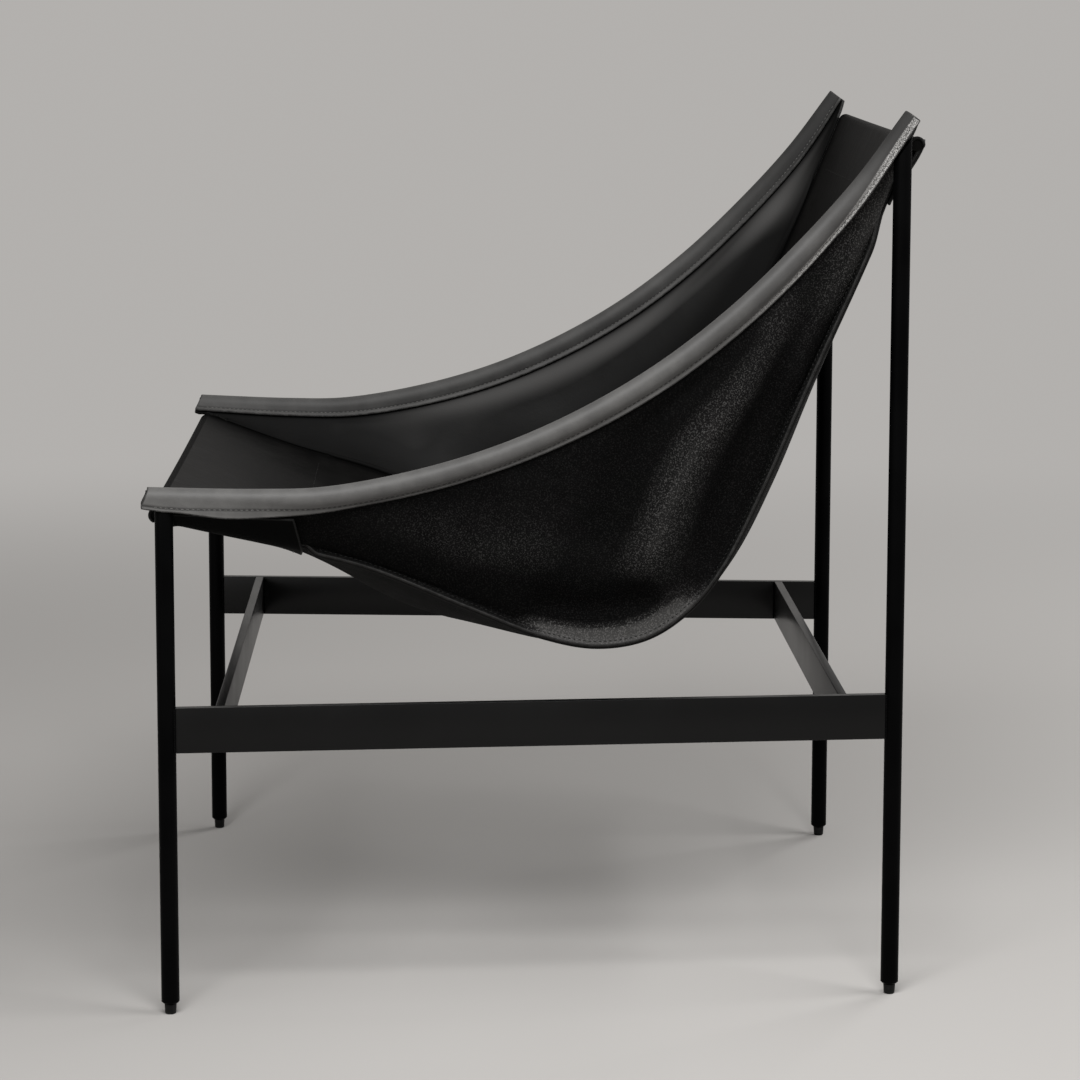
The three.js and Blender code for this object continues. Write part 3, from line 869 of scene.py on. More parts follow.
@dataclass(frozen=True)
class PowderCoat:
    """Black satin powder coat on steel, with a faint orange peel."""

    name: str = "powder_coat"
    dark: tuple = (0.0009, 0.0009, 0.0010)
    light: tuple = (0.0018, 0.0018, 0.0019)
    roughness: float = 0.40
    specular: float = 0.022

    def make(self) -> bpy.types.Material:
        """Builds the material.

        Returns:
            The material.
        """
        bench = Bench.material(self.name)
        peel = bench.noise(420.0, 2.0, 0.4)
        grit = bench.noise(2400.0, 2.0, 0.6)
        cloud = bench.noise(14.0, 3.0)
        colour = bench.shade(self.dark, self.light, cloud.step(0.3, 0.7))
        rough = self.roughness + (cloud - 0.5) * 0.12 + (grit - 0.5) * 0.10
        relief = bench.bump(peel + grit * 0.4, 0.05 * MM, 0.5)
        return bench.finish(colour, rough, relief, self.specular)


@dataclass(frozen=True)
class BarCoat(PowderCoat):
    """The same coat on the flat bars, which were ground before it and shine more."""

    name: str = "bar_coat"
    roughness: float = 0.34
    specular: float = 0.22


@dataclass(frozen=True)
class MouldedPlastic:
    """Black moulded plastic of the foot glides."""

    name: str = "glide_plastic"
    colour: tuple = (0.0040, 0.0040, 0.0040)
    scuffed: tuple = (0.012, 0.0117, 0.0113)
    specular: float = 0.15

    def make(self) -> bpy.types.Material:
        """Builds the material.

        Returns:
            The material.
        """
        bench = Bench.material(self.name)
        scuff = bench.noise(300.0, 4.0, 0.7)
        colour = bench.shade(self.colour, self.scuffed, scuff.step(0.5, 0.8))
        relief = bench.bump(bench.noise(1500.0), 0.05 * MM, 0.5)
        return bench.finish(colour, 0.48 + (scuff - 0.5) * 0.3, relief, self.specular)


@dataclass(frozen=True)
class WaxedThread:
    """Black waxed thread, twisted, with a dull shine."""

    name: str = "waxed_thread"
    dark: tuple = (0.0030, 0.0029, 0.0028)
    light: tuple = (0.0100, 0.0098, 0.0095)
    specular: float = 0.15

    def make(self) -> bpy.types.Material:
        """Builds the material.

        Returns:
            The material.
        """
        bench = Bench.material(self.name)
        twist = bench.noise(1900.0, 2.0, 0.5)
        colour = bench.shade(self.dark, self.light, twist.step(0.35, 0.75))
        relief = bench.bump(twist, 0.12 * MM, 0.6)
        return bench.finish(colour, 0.42 + (twist - 0.5) * 0.2, relief, self.specular)


@dataclass(frozen=True)
class PaintedHighlightThread(WaxedThread):
    """The same thread on the sleeves, painted pale as a painted highlight."""

    name: str = "painted_highlight_thread"
    dark: tuple = (0.055, 0.054, 0.052)
    light: tuple = (0.20, 0.196, 0.19)


@dataclass
class Finishes:
    """Every material of the chair, made once."""

    grain: bpy.types.Material = field(default_factory=GrainLeather().make)
    seat: bpy.types.Material = field(default_factory=SeatLeather().make)
    sleeve: bpy.types.Material = field(default_factory=SleeveLeather().make)
    rough: bpy.types.Material = field(default_factory=RoughLeather().make)
    edge: bpy.types.Material = field(default_factory=CutEdge().make)
    panel_edge: bpy.types.Material = field(default_factory=PanelEdge().make)
    sleeve_edge: bpy.types.Material = field(default_factory=RubbedEdge().make)
    steel: bpy.types.Material = field(default_factory=PowderCoat().make)
    bar: bpy.types.Material = field(default_factory=BarCoat().make)
    plastic: bpy.types.Material = field(default_factory=MouldedPlastic().make)
    thread: bpy.types.Material = field(default_factory=WaxedThread().make)
    painted_highlight_thread: bpy.types.Material = field(default_factory=PaintedHighlightThread().make)


@dataclass
class Hide:
    """One piece of leather: a grid of points on its middle surface, with a thickness.

    Rows run from the front of the chair to its top, and the grain side is to the side of
    the cross product of the rows' and the columns' directions.
    """

    name: str
    grid: np.ndarray
    thickness: float
    relief: np.ndarray | None = None
    # Painted highlight and shade on the side panels, and wear on the strips' margins
    raised: np.ndarray | None = None
    # Painted shade, from none to full
    painted_shade: np.ndarray | None = None
    edge_reach: float = 2.5 * MM
    rim_steps: int = 6
    rim_power: float = 0.62

    def __post_init__(self) -> None:
        """Works out the way out of the grain side, and fills in the marks left out."""
        self.normals = unit(np.cross(*np.gradient(self.grid, axis=(0, 1))))
        for mark in ("relief", "raised", "painted_shade"):
            if getattr(self, mark) is None:
                setattr(self, mark, np.zeros(self.grid.shape[:2]))

    def other_side(self) -> "Hide":
        """Its mirror image on the right side of the chair, grain still outward.

        Returns:
            The other hide.
        """
        return replace(
            self, grid=mirrored(self.grid[:, ::-1]), relief=self.relief[:, ::-1],
            raised=self.raised[:, ::-1], painted_shade=self.painted_shade[:, ::-1],
        )

    def surface(self, face: Face) -> np.ndarray:
        """Points of one of the two faces.

        Args:
            face: Which face.

        Returns:
            A point for each of the grid's.
        """
        rise = self.relief if face is Face.GRAIN else 0.0 * self.relief
        lift = face.value * self.thickness / 2 + rise
        return self.grid + self.normals * lift[..., None]

    def edge_distance(self) -> np.ndarray:
        """Distance of each grid point to the nearest long cut edge, over the leather."""
        across = walked(self.grid)
        return np.minimum(across, across[:, -1:] - across)

    def flat_size(self) -> tuple[float, float, float]:
        """Width, length and area that the hide was cut to.

        Returns:
            The longest row, the longest column and the area of all cells, in metres.
        """
        wide = walked(self.grid)[:, -1].max()
        long = walked(self.grid.swapaxes(0, 1))[:, -1].max()
        near, far = self.grid[:-1], self.grid[1:]
        first = np.cross(far[:, :-1] - near[:, :-1], near[:, 1:] - near[:, :-1])
        second = np.cross(far[:, :-1] - far[:, 1:], near[:, 1:] - far[:, 1:])
        area = np.linalg.norm(first, axis=2) + np.linalg.norm(second, axis=2)
        return float(wide), float(long), float(area.sum() / 2)

    def _rim(self) -> tuple[np.ndarray, np.ndarray]:
        """The boundary points in order, and the way out of the hide at each.

        Returns:
            Row and column of each point, and the ways out.
        """
        rows, columns = self.grid.shape[:2]
        loop = [(0, j) for j in range(columns)]
        loop += [(i, columns - 1) for i in range(1, rows)]
        loop += [(rows - 1, j) for j in range(columns - 2, -1, -1)]
        loop += [(i, 0) for i in range(rows - 2, 0, -1)]
        g = self.grid
        out = np.zeros_like(g)
        out[0] += unit(g[0] - g[1])
        out[-1] += unit(g[-1] - g[-2])
        out[:, 0] += unit(g[:, 0] - g[:, 1])
        out[:, -1] += unit(g[:, -1] - g[:, -2])
        index = np.array(loop)
        return index, unit(out[index[:, 0], index[:, 1]])

    def build(
        self, grain: bpy.types.Material, flesh: bpy.types.Material, edge: bpy.types.Material
    ) -> bpy.types.Object:
        """Makes the closed mesh with softened cut edges.

        Args:
            grain: Material of the grain side.
            flesh: Material of the flesh side.
            edge: Material of the cut edges.

        Returns:
            The object.
        """
        rows, columns = self.grid.shape[:2]
        count = rows * columns
        index, out = self._rim()
        loop = index[:, 0] * columns + index[:, 1]
        mid = self.grid[index[:, 0], index[:, 1]]
        normal = self.normals[index[:, 0], index[:, 1]]
        half, soft = self.thickness / 2, self.rim_power
        layers = [self.surface(Face.GRAIN).reshape(-1, 3), self.surface(Face.FLESH).reshape(-1, 3)]
        for k in range(1, self.rim_steps):
            angle = math.pi / 2 - math.pi * k / self.rim_steps
            lift = math.copysign(abs(math.sin(angle)) ** soft, math.sin(angle))
            layers.append(mid + out * half * math.cos(angle) ** soft + normal * half * lift)
        cell = np.arange(count).reshape(rows, columns)
        corners = (cell[:-1, :-1], cell[1:, :-1], cell[1:, 1:], cell[:-1, 1:])
        a, b, c, d = (corner.ravel() for corner in corners)
        faces = [np.stack([a, b, c, d], 1), np.stack([a, d, c, b], 1) + count]
        ring = 2 * count + np.arange(len(loop))
        rings = [loop, *(ring + k * len(loop) for k in range(self.rim_steps - 1)), loop + count]
        for first, second in zip(rings[:-1], rings[1:]):
            ahead, ahead2 = np.roll(first, -1), np.roll(second, -1)
            faces.append(np.stack([first, ahead, ahead2, second], 1))
        obj = Maker.mesh_object(self.name, np.vstack(layers), np.vstack(faces))
        for material in (grain, flesh, edge):
            obj.data.materials.append(material)
        sheet = (rows - 1) * (columns - 1)
        slots = np.full(len(obj.data.polygons), 2)
        slots[:sheet], slots[sheet : 2 * sheet] = 0, 1
        obj.data.polygons.foreach_set("material_index", slots)
        worn = 1 - np.clip(self.edge_distance() / self.edge_reach, 0, 1)
        marks = (("edge", worn, 1.0), ("raised", self.raised, 0.0), ("painted_shade", self.painted_shade, 0.0))
        for name, mark, rim in marks:
            value, rest = mark.ravel(), np.full(len(obj.data.vertices) - 2 * count, rim)
            layer = obj.data.attributes.new(name, "FLOAT", "POINT")
            layer.data.foreach_set("value", np.concatenate([value, value, rest]))
        self._outward(obj)
        return obj

    @staticmethod
    def _outward(obj: bpy.types.Object) -> None:
        """Turns all faces outward if the closed mesh came out inside out.

        Args:
            obj: The object.
        """
        shell = bmesh.new()
        shell.from_mesh(obj.data)
        if shell.calc_volume(signed=True) < 0:
            bmesh.ops.reverse_faces(shell, faces=shell.faces)
        shell.to_mesh(obj.data)
        shell.free()


@dataclass
class Stitching:
    """Rows of stitches in waxed thread, each a small rounded bar that dips into the hide."""

    material: bpy.types.Material
    pitch: float = 4.6 * MM
    length: float = 3.5 * MM
    radius: float = 0.5 * MM
    sink_share: float = 0.25
    bow_share: float = 0.7

    def _stitch(self) -> tuple[np.ndarray, np.ndarray]:
        """One stitch along X.

        Returns:
            Its points and its faces.
        """
        Maker.deselect()
        bpy.ops.mesh.primitive_uv_sphere_add(segments=8, ring_count=6, radius=1.0)
        obj = bpy.context.active_object
        bpy.ops.object.mode_set(mode="EDIT")
        bpy.ops.mesh.select_all(action="SELECT")
        bpy.ops.transform.rotate(
            value=math.pi / 2, orient_axis="Y", center_override=(0.0, 0.0, 0.0)
        )
        bpy.ops.object.mode_set(mode="OBJECT")
        points = np.array([v.co[:] for v in obj.data.vertices])
        faces = [tuple(p.vertices) for p in obj.data.polygons]
        bpy.data.objects.remove(obj)
        points *= (self.length / 2, self.radius, self.radius)
        bow = 1 - (points[:, 0] / (self.length / 2)) ** 2
        points[:, 2] += self.radius * (bow - self.bow_share)
        return points, faces

    def sew(
        self, name: str, lines: Iterable[Line], slot: str, thread: bpy.types.Material | None = None
    ) -> None:
        """Lays stitches along lines on the leather, as one piece.

        Args:
            name: The piece's name.
            lines: The rows of stitches.
            slot: The record's material slot.
            thread: The thread, if it isn't the usual one.
        """
        shape, shape_faces = self._stitch()
        points, faces = [], []
        for line, normal in lines:
            along, half = walked(line), self.pitch / 2
            count = max(1, int(along[-1] / self.pitch))
            at = (np.arange(count) + 0.5) * along[-1] / count
            middle, up = read_at(at, along, line), unit(read_at(at, along, normal))
            ahead = unit(read_at(at + half, along, line) - read_at(at - half, along, line))
            beside = unit(np.cross(up, ahead))
            up = np.cross(ahead, beside)
            for m, x, y, z in zip(middle, ahead, beside, up):
                base = len(points) * len(shape)
                turned = shape @ np.stack([x, y, z]) + m - z * self.radius * self.sink_share
                points.append(turned)
                faces.extend([tuple(base + v for v in f) for f in shape_faces])
        obj = Maker.mesh_object(name, np.vstack(points), faces)
        obj.data.materials.append(thread or self.material)
        Maker.report(obj, slot)


@dataclass(frozen=True)
class Stroke:
    """One soft stroke on a side panel: a fold, or a stroke of painted highlight and shade.

    A fold's height is in metres and a painted stroke's is its strength. Below zero a fold is a
    hollow and a painted stroke is painted shade. The points are shares of the seam's length and
    of the way from the rail to the seam.
    """

    height: float
    width: float
    points: tuple
    samples: int = 48
    fade_share: float = 0.22

    def line(self) -> tuple[np.ndarray, np.ndarray]:
        """Its shares of the seam and of the way down, from end to end.

        Returns:
            The two rows of shares.
        """
        shares = np.linspace(0, 1, self.samples)
        flat = SmoothLine([(s, t, 0.0) for s, t in self.points]).at(shares)
        return flat[:, 0], flat[:, 1]

    def height_at(self, places: np.ndarray, path: np.ndarray) -> np.ndarray:
        """How strong the stroke is at places.

        Args:
            places: Points in the side view's plane.
            path: The stroke's path in that plane.

        Returns:
            Its strength at each point.
        """
        step = path[1:] - path[:-1]
        reach = places[:, :, None] - path[:-1]
        part = np.clip(np.sum(reach * step, -1) / np.sum(step * step, -1), 0.0, 1.0)
        away = np.linalg.norm(reach - part[..., None] * step, axis=-1)
        nearest = away.argmin(axis=-1)[..., None]
        done = (nearest + np.take_along_axis(part, nearest, -1))[..., 0] / len(step)
        fade = ease(done, 0.0, self.fade_share) * (1 - ease(done, 1 - self.fade_share, 1.0))
        return self.height * fade * np.exp(-((away.min(axis=-1) / self.width) ** 2))


@dataclass
class PanelSpan:
    """A left side panel laid straight, row by row, from inside its strip to the seam's flange.

    Every row starts inside the strip, comes free below it, turns at its corner on the seam
    and ends at the flange's edge.
    """

    share: np.ndarray
    start: np.ndarray
    free: np.ndarray
    corner: np.ndarray
    edge: np.ndarray
    outward: np.ndarray
    down: np.ndarray

    def __post_init__(self) -> None:
        """Works out the depth of each row and the straight leather below the strip."""
        reach = self.corner - self.free
        self.depth = np.linalg.norm(reach, axis=1)
        self.body = self.free[:, None] + reach[:, None] * self.down[None, :, None]

    def laid(self, strokes: Iterable[Stroke]) -> np.ndarray:
        """Strokes laid on the free leather.

        Args:
            strokes: The strokes.

        Returns:
            How strong they are together at each point.
        """
        rows = np.linspace(0.0, 1.0, len(self.free))
        total = np.zeros(self.body.shape[:2])
        for stroke in strokes:
            s, t = stroke.line()
            upper, lower = read_at(s, rows, self.free), read_at(s, rows, self.corner)
            path = mix(upper, lower, t[:, None])
            total += stroke.height_at(self.body[..., 1:], path[:, 1:])
        return total


@dataclass
class Leather:
    """What all the sling's pieces share: where they hang, their finishes and their seams."""

    form: SlingForm
    finishes: Finishes
    stations: int = 260
    lip_columns: int = 7
    rim: float = 1.2 * MM
    # How far painted shade reaches from a seam's crease
    seam_shade_reach: float = 5 * MM
    seam_stitch_edge: float = 3.2 * MM
    bare_limit: float = 0.15
    flat: dict = field(default_factory=dict)

    def __post_init__(self) -> None:
        """Makes the tool that sews."""
        self.stitching = Stitching(self.finishes.thread)

    def declare(self, obj: bpy.types.Object, way: str, over: list) -> None:
        """Looks up the flat size that a hide was cut to, and does nothing more."""
        wide, long, area = self.flat[obj.name]

    def _dress(
        self, hide: Hide, slot: str, node: str, grain: bpy.types.Material,
        edge: bpy.types.Material,
    ) -> bpy.types.Object:
        """Builds one hide and reports it.

        Args:
            hide: The hide.
            slot: The record's material slot.
            node: The node that it replaces.
            grain: Material of its grain side.
            edge: Material of its cut edges.

        Returns:
            The object.
        """
        obj = hide.build(grain, self.finishes.rough, edge)
        wide, long, area = hide.flat_size()
        self.flat[obj.name] = (wide, long, min(area, wide * long))
        Maker.report(obj, slot, node)
        LOG.info("%s flat: %.3f x %.3f m, %.4f m2", obj.name, *self.flat[obj.name])
        return obj

    @staticmethod
    def _other_side(hide: Hide, lines: Sequence[Line]) -> tuple[Hide, list[Line]]:
        """A left hide and its stitches, made for the right."""
        return hide.other_side(), [(mirrored(line), mirrored(out)) for line, out in lines]

    @staticmethod
    def _read_rows(
        hide: Hide, across: np.ndarray, at: np.ndarray, face: Face, rows: slice = slice(3, -3)
    ) -> Line:
        """A line along the rows of a hide, at a distance from its first column.

        Args:
            hide: The leather.
            across: Distance of each grid point from the first column.
            at: That distance for the line, one for each row.
            face: The face that the line is on.
            rows: The rows that it covers.

        Returns:
            The line on the face.
        """
        level = np.broadcast_to(np.asarray(at).reshape(-1), (len(across),))
        points, normals = (
            np.stack([read_at(*row) for row in zip(level, across, table)])
            for table in (hide.surface(face), hide.normals)
        )
        return points[rows], face.value * unit(normals)[rows]

    def _bare_rows(self, share: np.ndarray, first: int = 0) -> slice:
        """Rows outside both hems, counted from a first one."""
        bare = first + np.flatnonzero(self.form.hemmed(share) < self.bare_limit)
        return slice(bare[0], bare[-1] + 1)

    @staticmethod
    def _ease_corner(grid: np.ndarray, column: int, reach: int = 3) -> np.ndarray:
        """Rounds the fold at a column of a grid.

        Args:
            grid: The points.
            column: Where the fold is.
            reach: Columns to round on each side of it.

        Returns:
            The rounded grid.
        """
        eased = grid.copy()
        for _ in range(4):
            part = slice(column - reach, column + reach)
            before = slice(column - reach - 1, column + reach - 1)
            after = slice(column - reach + 1, column + reach + 1)
            eased[:, part] = (eased[:, before] + 2 * eased[:, part] + eased[:, after]) / 4
        return eased


@dataclass
class RailStrips(Leather):
    """The two strips of leather wrapped round the rails."""

    columns: int = 64
    arc_points: int = 40
    end_slant: float = 5 * MM
    slant_reach: float = 30 * MM
    flare: float = 1.3 * MM

    # Stitches, their grooves and the painted shade in the grooves
    stitch_depth: float = 9.2 * MM
    stitch_edge: float = 4.2 * MM
    least_stitch_edge: float = 2.4 * MM
    groove_depth: float = 0.42 * MM
    groove_width: float = 1.1 * MM
    groove_shade: float = 0.8

    # Rubbed margin and painted shade at the top; on each side the least painted shade,
    # and where the painted shade at the top starts
    margin_shares: tuple = (0.66, 0.82)
    margin_width: float = 5.2 * MM
    margin_fade: float = 1 * MM
    top_shade: float = 0.80
    side_shade: dict = field(
        default_factory=lambda: {Side.LEFT: (0.0, 0.80), Side.RIGHT: (0.30, 0.42)}
    )

    def _opening(self, along: np.ndarray) -> np.ndarray:
        """How far the strip's outer edge hangs free beside the legs: one there, else zero.

        Args:
            along: Distances along the rail from its front end.

        Returns:
            The share at each.
        """
        z = self.form.sizes
        front = 1 - ease(along, z.rail_front_overhang + z.front_open_reach, z.front_close_reach)
        left = self.form.rail.length - along
        return np.maximum(front, 1 - ease(left, z.top_open_reach, z.top_close_reach))

    def _outer_tail(self, along: np.ndarray) -> np.ndarray:
        """Length of the strip's outer edge below the rail's middle.

        Args:
            along: Distances along the rail from its front end.

        Returns:
            The length at each.
        """
        z = self.form.sizes
        widest = z.rail_front_overhang + z.widest_reach
        tip = mix(z.tip_tail, z.leg_tail, along / z.rail_front_overhang)
        swell = mix(z.leg_tail, z.widest_tail, ease(along, z.rail_front_overhang, widest))
        rest = mix(swell, z.narrow_tail, ease(along, widest, z.front_close_reach))
        rest = mix(rest, z.tail, ease(along, z.front_close_reach, z.back_tail_reach))
        left = self.form.rail.length - along
        rest = mix(z.top_tip_tail, rest, ease(left, 0, z.top_taper_reach))
        return np.where(along < z.rail_front_overhang, tip, rest)

    def _section(self, share: float) -> np.ndarray:
        """Middle line of the strip across the rail, from its outer to its inner edge.

        Args:
            share: Share of the rail's length.

        Returns:
            Points in the rail's inward and down directions.
        """
        z = self.form.sizes
        reach = self.form.panel_direction(np.array([share]))[0]
        length = float(np.linalg.norm(reach))
        way = reach / length
        beside = np.array([-way[1], way[0]])
        tail = min(z.tail, length - z.tail_seam_room) - self.rim * 0.5
        pressed = z.hide_thickness / 2 + z.fit + z.strip_thickness / 2
        radius = z.rail_radius + z.strip_room + z.strip_thickness / 2
        along = share * self.form.rail.length
        opening, hang = float(self._opening(along)), float(self._outer_tail(along))
        hang -= self.rim * 0.5
        outer_tail = min(max(hang, z.narrow_tail), length - z.tail_seam_room)
        knee = tail - z.tail_straight
        outer_knee = mix(way * (outer_tail - z.tail_straight) + beside * pressed,
                         np.array([-radius, hang - z.tail_straight]), opening)
        outer_knee *= max(1.0, radius / float(np.linalg.norm(outer_knee)))
        outer_end = mix(way * outer_tail + beside * pressed, np.array([-radius, hang]), opening)
        inner_knee = way * knee - beside * pressed
        inner_end = way * tail - beside * (pressed + self.flare)
        angle = lambda p: math.atan2(p[1], p[0]) % (2 * math.pi)
        lean = lambda p: math.acos(min(1.0, radius / float(np.linalg.norm(p))))
        start = angle(outer_knee) + lean(outer_knee)
        end = angle(inner_knee) - lean(inner_knee) + 2 * math.pi
        turn = np.linspace(start, end, self.arc_points)
        arc = radius * np.stack([np.cos(turn), np.sin(turn)], axis=1)
        path = np.vstack([outer_end, outer_knee, arc, inner_knee, inner_end])
        return self._even(path, self.columns)

    @staticmethod
    def _even(path: np.ndarray, count: int) -> np.ndarray:
        """A path at even steps, with its corners eased.

        Args:
            path: Its points.
            count: How many points it gets.

        Returns:
            The new points.
        """
        along = walked(path)
        even = read_at(np.linspace(0, along[-1], count), along, path)
        for _ in range(3):
            even[1:-1] = (even[:-2] + 2 * even[1:-1] + even[2:]) / 4
        return even

    def build(self, side: Side) -> bpy.types.Object:
        """The strip of leather wrapped round one rail, and its two rows of stitches.

        Args:
            side: The rail's side.

        Returns:
            The strip.
        """
        form = self.form
        share = np.linspace(0.0, 1.0, self.stations)
        centre, run, inward, down = form.rail_frame(share)
        section = np.stack([self._section(s) for s in share])
        grid = centre[:, None] + inward[:, None] * section[..., :1]
        grid += down[:, None] * section[..., 1:]
        along = share * form.rail.length
        height = np.clip(-section[..., 1] / form.sizes.rail_radius, -1, 1) * 0.5 + 0.5
        slant = self.end_slant * (1 - ease(along, 0.0, self.slant_reach))[:, None] * height
        grid += run[:, None] * slant[..., None]
        across = walked(grid)
        spare = self._outer_tail(along) - self.stitch_depth
        outer_row = np.maximum(spare, self.least_stitch_edge)[:, None]
        inner_row = across[:, -1:] - self.stitch_edge
        relief, painted_shade = np.zeros_like(across), np.zeros_like(across)
        # Painted shade along the grooves of the stitches
        for row in (outer_row, inner_row):
            groove = np.exp(-(((across - row) / self.groove_width) ** 2))
            relief -= self.groove_depth * groove
            painted_shade = np.maximum(painted_shade, self.groove_shade * groove)
        # Painted shade: darker towards the top, and darker all along the right strip
        least_shade, start = self.side_shade[side]
        shade = np.maximum(least_shade, self.top_shade * ease(share, start, 1.0))
        painted_shade = np.maximum(painted_shade, shade[:, None])
        margin = 1 - ease(across, self.margin_width, self.margin_width + self.margin_fade)
        raised = margin * ease(share, *self.margin_shares)[:, None]
        hide = Hide(f"leather_sleeve_{side.value}", form.placed(grid),
                    form.sizes.strip_thickness, relief, raised, painted_shade)
        lines = [self._read_rows(hide, across, row, Face.GRAIN) for row in (outer_row, inner_row)]
        if side is Side.RIGHT:
            hide, lines = self._other_side(hide, lines)
        done = self.finishes
        self.stitching.sew(
            f"sleeve_stitches_{side.value}", lines, "grain_leather", done.painted_highlight_thread
        )
        node = f"rail_sleeve_{side.value}"
        return self._dress(hide, "grain_leather", node, done.sleeve, done.sleeve_edge)


@dataclass
class SidePanels(Leather):
    """The two side panels, rough side out."""

    columns: int = 64
    head_columns: int = 6
    least_lip: float = 0.3 * MM

    # Folds, and how they fade at the panel's ends
    folds: dict = field(default_factory=lambda: {
        Side.LEFT: (
            Stroke(8.0 * MM, 22 * MM, ((0.90, 0.40), (0.823, 0.36), (0.770, 0.29), (0.718, 0.29),
                                       (0.667, 0.33), (0.60, 0.38), (0.562, 0.46), (0.525, 0.58),
                                       (0.49, 0.70), (0.46, 0.80))),
            Stroke(-4.5 * MM, 22 * MM, ((0.735, 0.0), (0.68, 0.05), (0.625, 0.075), (0.57, 0.14),
                                        (0.525, 0.26), (0.485, 0.425), (0.45, 0.56))),
            Stroke(-6.0 * MM, 15 * MM, ((0.86, 0.16), (0.79, 0.30), (0.772, 0.42), (0.735, 0.55),
                                        (0.708, 0.62), (0.657, 0.70), (0.618, 0.76), (0.57, 0.84),
                                        (0.53, 0.93))),
            Stroke(5.5 * MM, 12 * MM, ((0.96, 0.60), (0.90, 0.66), (0.838, 0.71), (0.795, 0.75),
                                       (0.768, 0.78), (0.738, 0.83), (0.70, 0.87))),
            Stroke(-9.0 * MM, 19 * MM, ((0.36, 0.80), (0.39, 0.82), (0.42, 0.83), (0.45, 0.84),
                                        (0.48, 0.85), (0.51, 0.86))),
            Stroke(3.0 * MM, 30 * MM, ((0.16, 0.62), (0.22, 0.55), (0.30, 0.50), (0.38, 0.50),
                                       (0.44, 0.56))),
        ),
        Side.RIGHT: (
            Stroke(-8.0 * MM, 36 * MM, ((0.34, 0.40), (0.45, 0.42), (0.55, 0.42), (0.65, 0.42),
                                        (0.75, 0.42), (0.88, 0.45))),
            Stroke(4.0 * MM, 22 * MM, ((0.74, 0.74), (0.62, 0.75), (0.52, 0.80), (0.44, 0.88))),
            Stroke(3.0 * MM, 28 * MM, ((0.14, 0.60), (0.22, 0.52), (0.30, 0.50))),
        ),
    })
    # Fold height at which the painted highlight on a fold's ridge is full
    full_height: float = 7 * MM
    full_depth: float = 120 * MM
    calm_shares: tuple = (0.12, 0.93)

    # Painted light: strokes of painted highlight and shade, a painted highlight on the left
    # panel's rear, and a painted highlight in a crescent on the flange, which is otherwise
    # painted darker
    wear_and_painted_light: dict = field(default_factory=lambda: {Side.LEFT: (
        Stroke(2.2, 11 * MM, ((0.33, 0.97), (0.38, 0.97), (0.42, 0.975), (0.45, 0.98),
                              (0.49, 0.98), (0.55, 0.98))),
        Stroke(-0.9, 26 * MM, ((0.12, 0.88), (0.22, 0.90), (0.30, 0.88), (0.38, 0.83),
                               (0.46, 0.80))),
        Stroke(-0.7, 20 * MM, ((0.50, 0.04), (0.58, 0.04), (0.66, 0.04), (0.74, 0.03))),
        Stroke(-0.7, 12 * MM, ((0.62, 0.97), (0.70, 0.96), (0.78, 0.94), (0.86, 0.92))),
    ), Side.RIGHT: (
        Stroke(0.80, 12 * MM, ((0.18, 0.02), (0.34, 0.03), (0.46, 0.04), (0.56, 0.06),
                               (0.66, 0.11), (0.78, 0.20), (0.90, 0.30), (1.00, 0.34))),
        Stroke(0.15, 26 * MM, ((0.30, 0.08), (0.46, 0.10), (0.60, 0.15), (0.72, 0.24),
                               (0.84, 0.32), (0.98, 0.40))),
        Stroke(1.6, 11 * MM, ((0.36, 0.97), (0.42, 0.975), (0.45, 0.98), (0.52, 0.98))),
        Stroke(-0.9, 26 * MM, ((0.12, 0.88), (0.22, 0.90), (0.30, 0.88), (0.38, 0.83),
                               (0.46, 0.80))),
    )})
    rear_highlight: float = 1.15
    rear_highlight_shares: tuple = (0.78, 0.92)
    crescent: float = 2.6
    crescent_shares: tuple = (0.33, 0.39, 0.51, 0.57)
    flange_shade: float = 0.6
    painted_light_limits: tuple = (-1.0, 1.8)

    # Painted shade: a painted shadow just below the strip, in the front and at the foot
    strip_shadow_reach: float = 4 * MM
    front_shade: float = 0.75
    front_shade_shares: tuple = (0.14, 0.42)
    foot_shade: float = 0.85
    foot_shade_down: tuple = (0.12, 0.50)
    foot_shade_shares: tuple = (0.2, 0.45)

    def _span(self, share: np.ndarray) -> PanelSpan:
        """The left side panel's rows, before any fold.

        Args:
            share: Their shares of the seam.

        Returns:
            The rows.
        """
        form, z = self.form, self.form.sizes
        centre, _, inward, down = form.rail_frame(share)
        reach = form.panel_direction(share)
        length = np.linalg.norm(reach, axis=1, keepdims=True)
        way = reach / length
        place = lambda far: centre + (inward * way[:, :1] + down * way[:, 1:]) * far
        seam, run, out = form.seam_frame(share)
        along_lip, apart = form.lip_directions(out)
        offset = (z.hide_thickness + z.fit) / 2 + z.hem_side_room * form.hemmed(share)
        corner = seam + apart * offset[:, None]
        lip = np.maximum(form.lip_length(share) - self.rim, self.least_lip)
        return PanelSpan(
            share=share,
            start=place(z.rail_radius + z.panel_start_room + self.rim),
            free=place(np.minimum(z.tail, length - z.tail_seam_room) + z.panel_free_room),
            corner=corner,
            edge=corner + along_lip * lip[:, None],
            outward=unit(np.cross(run, centre - corner)),
            down=np.linspace(0.0, 1.0, self.columns),
        )

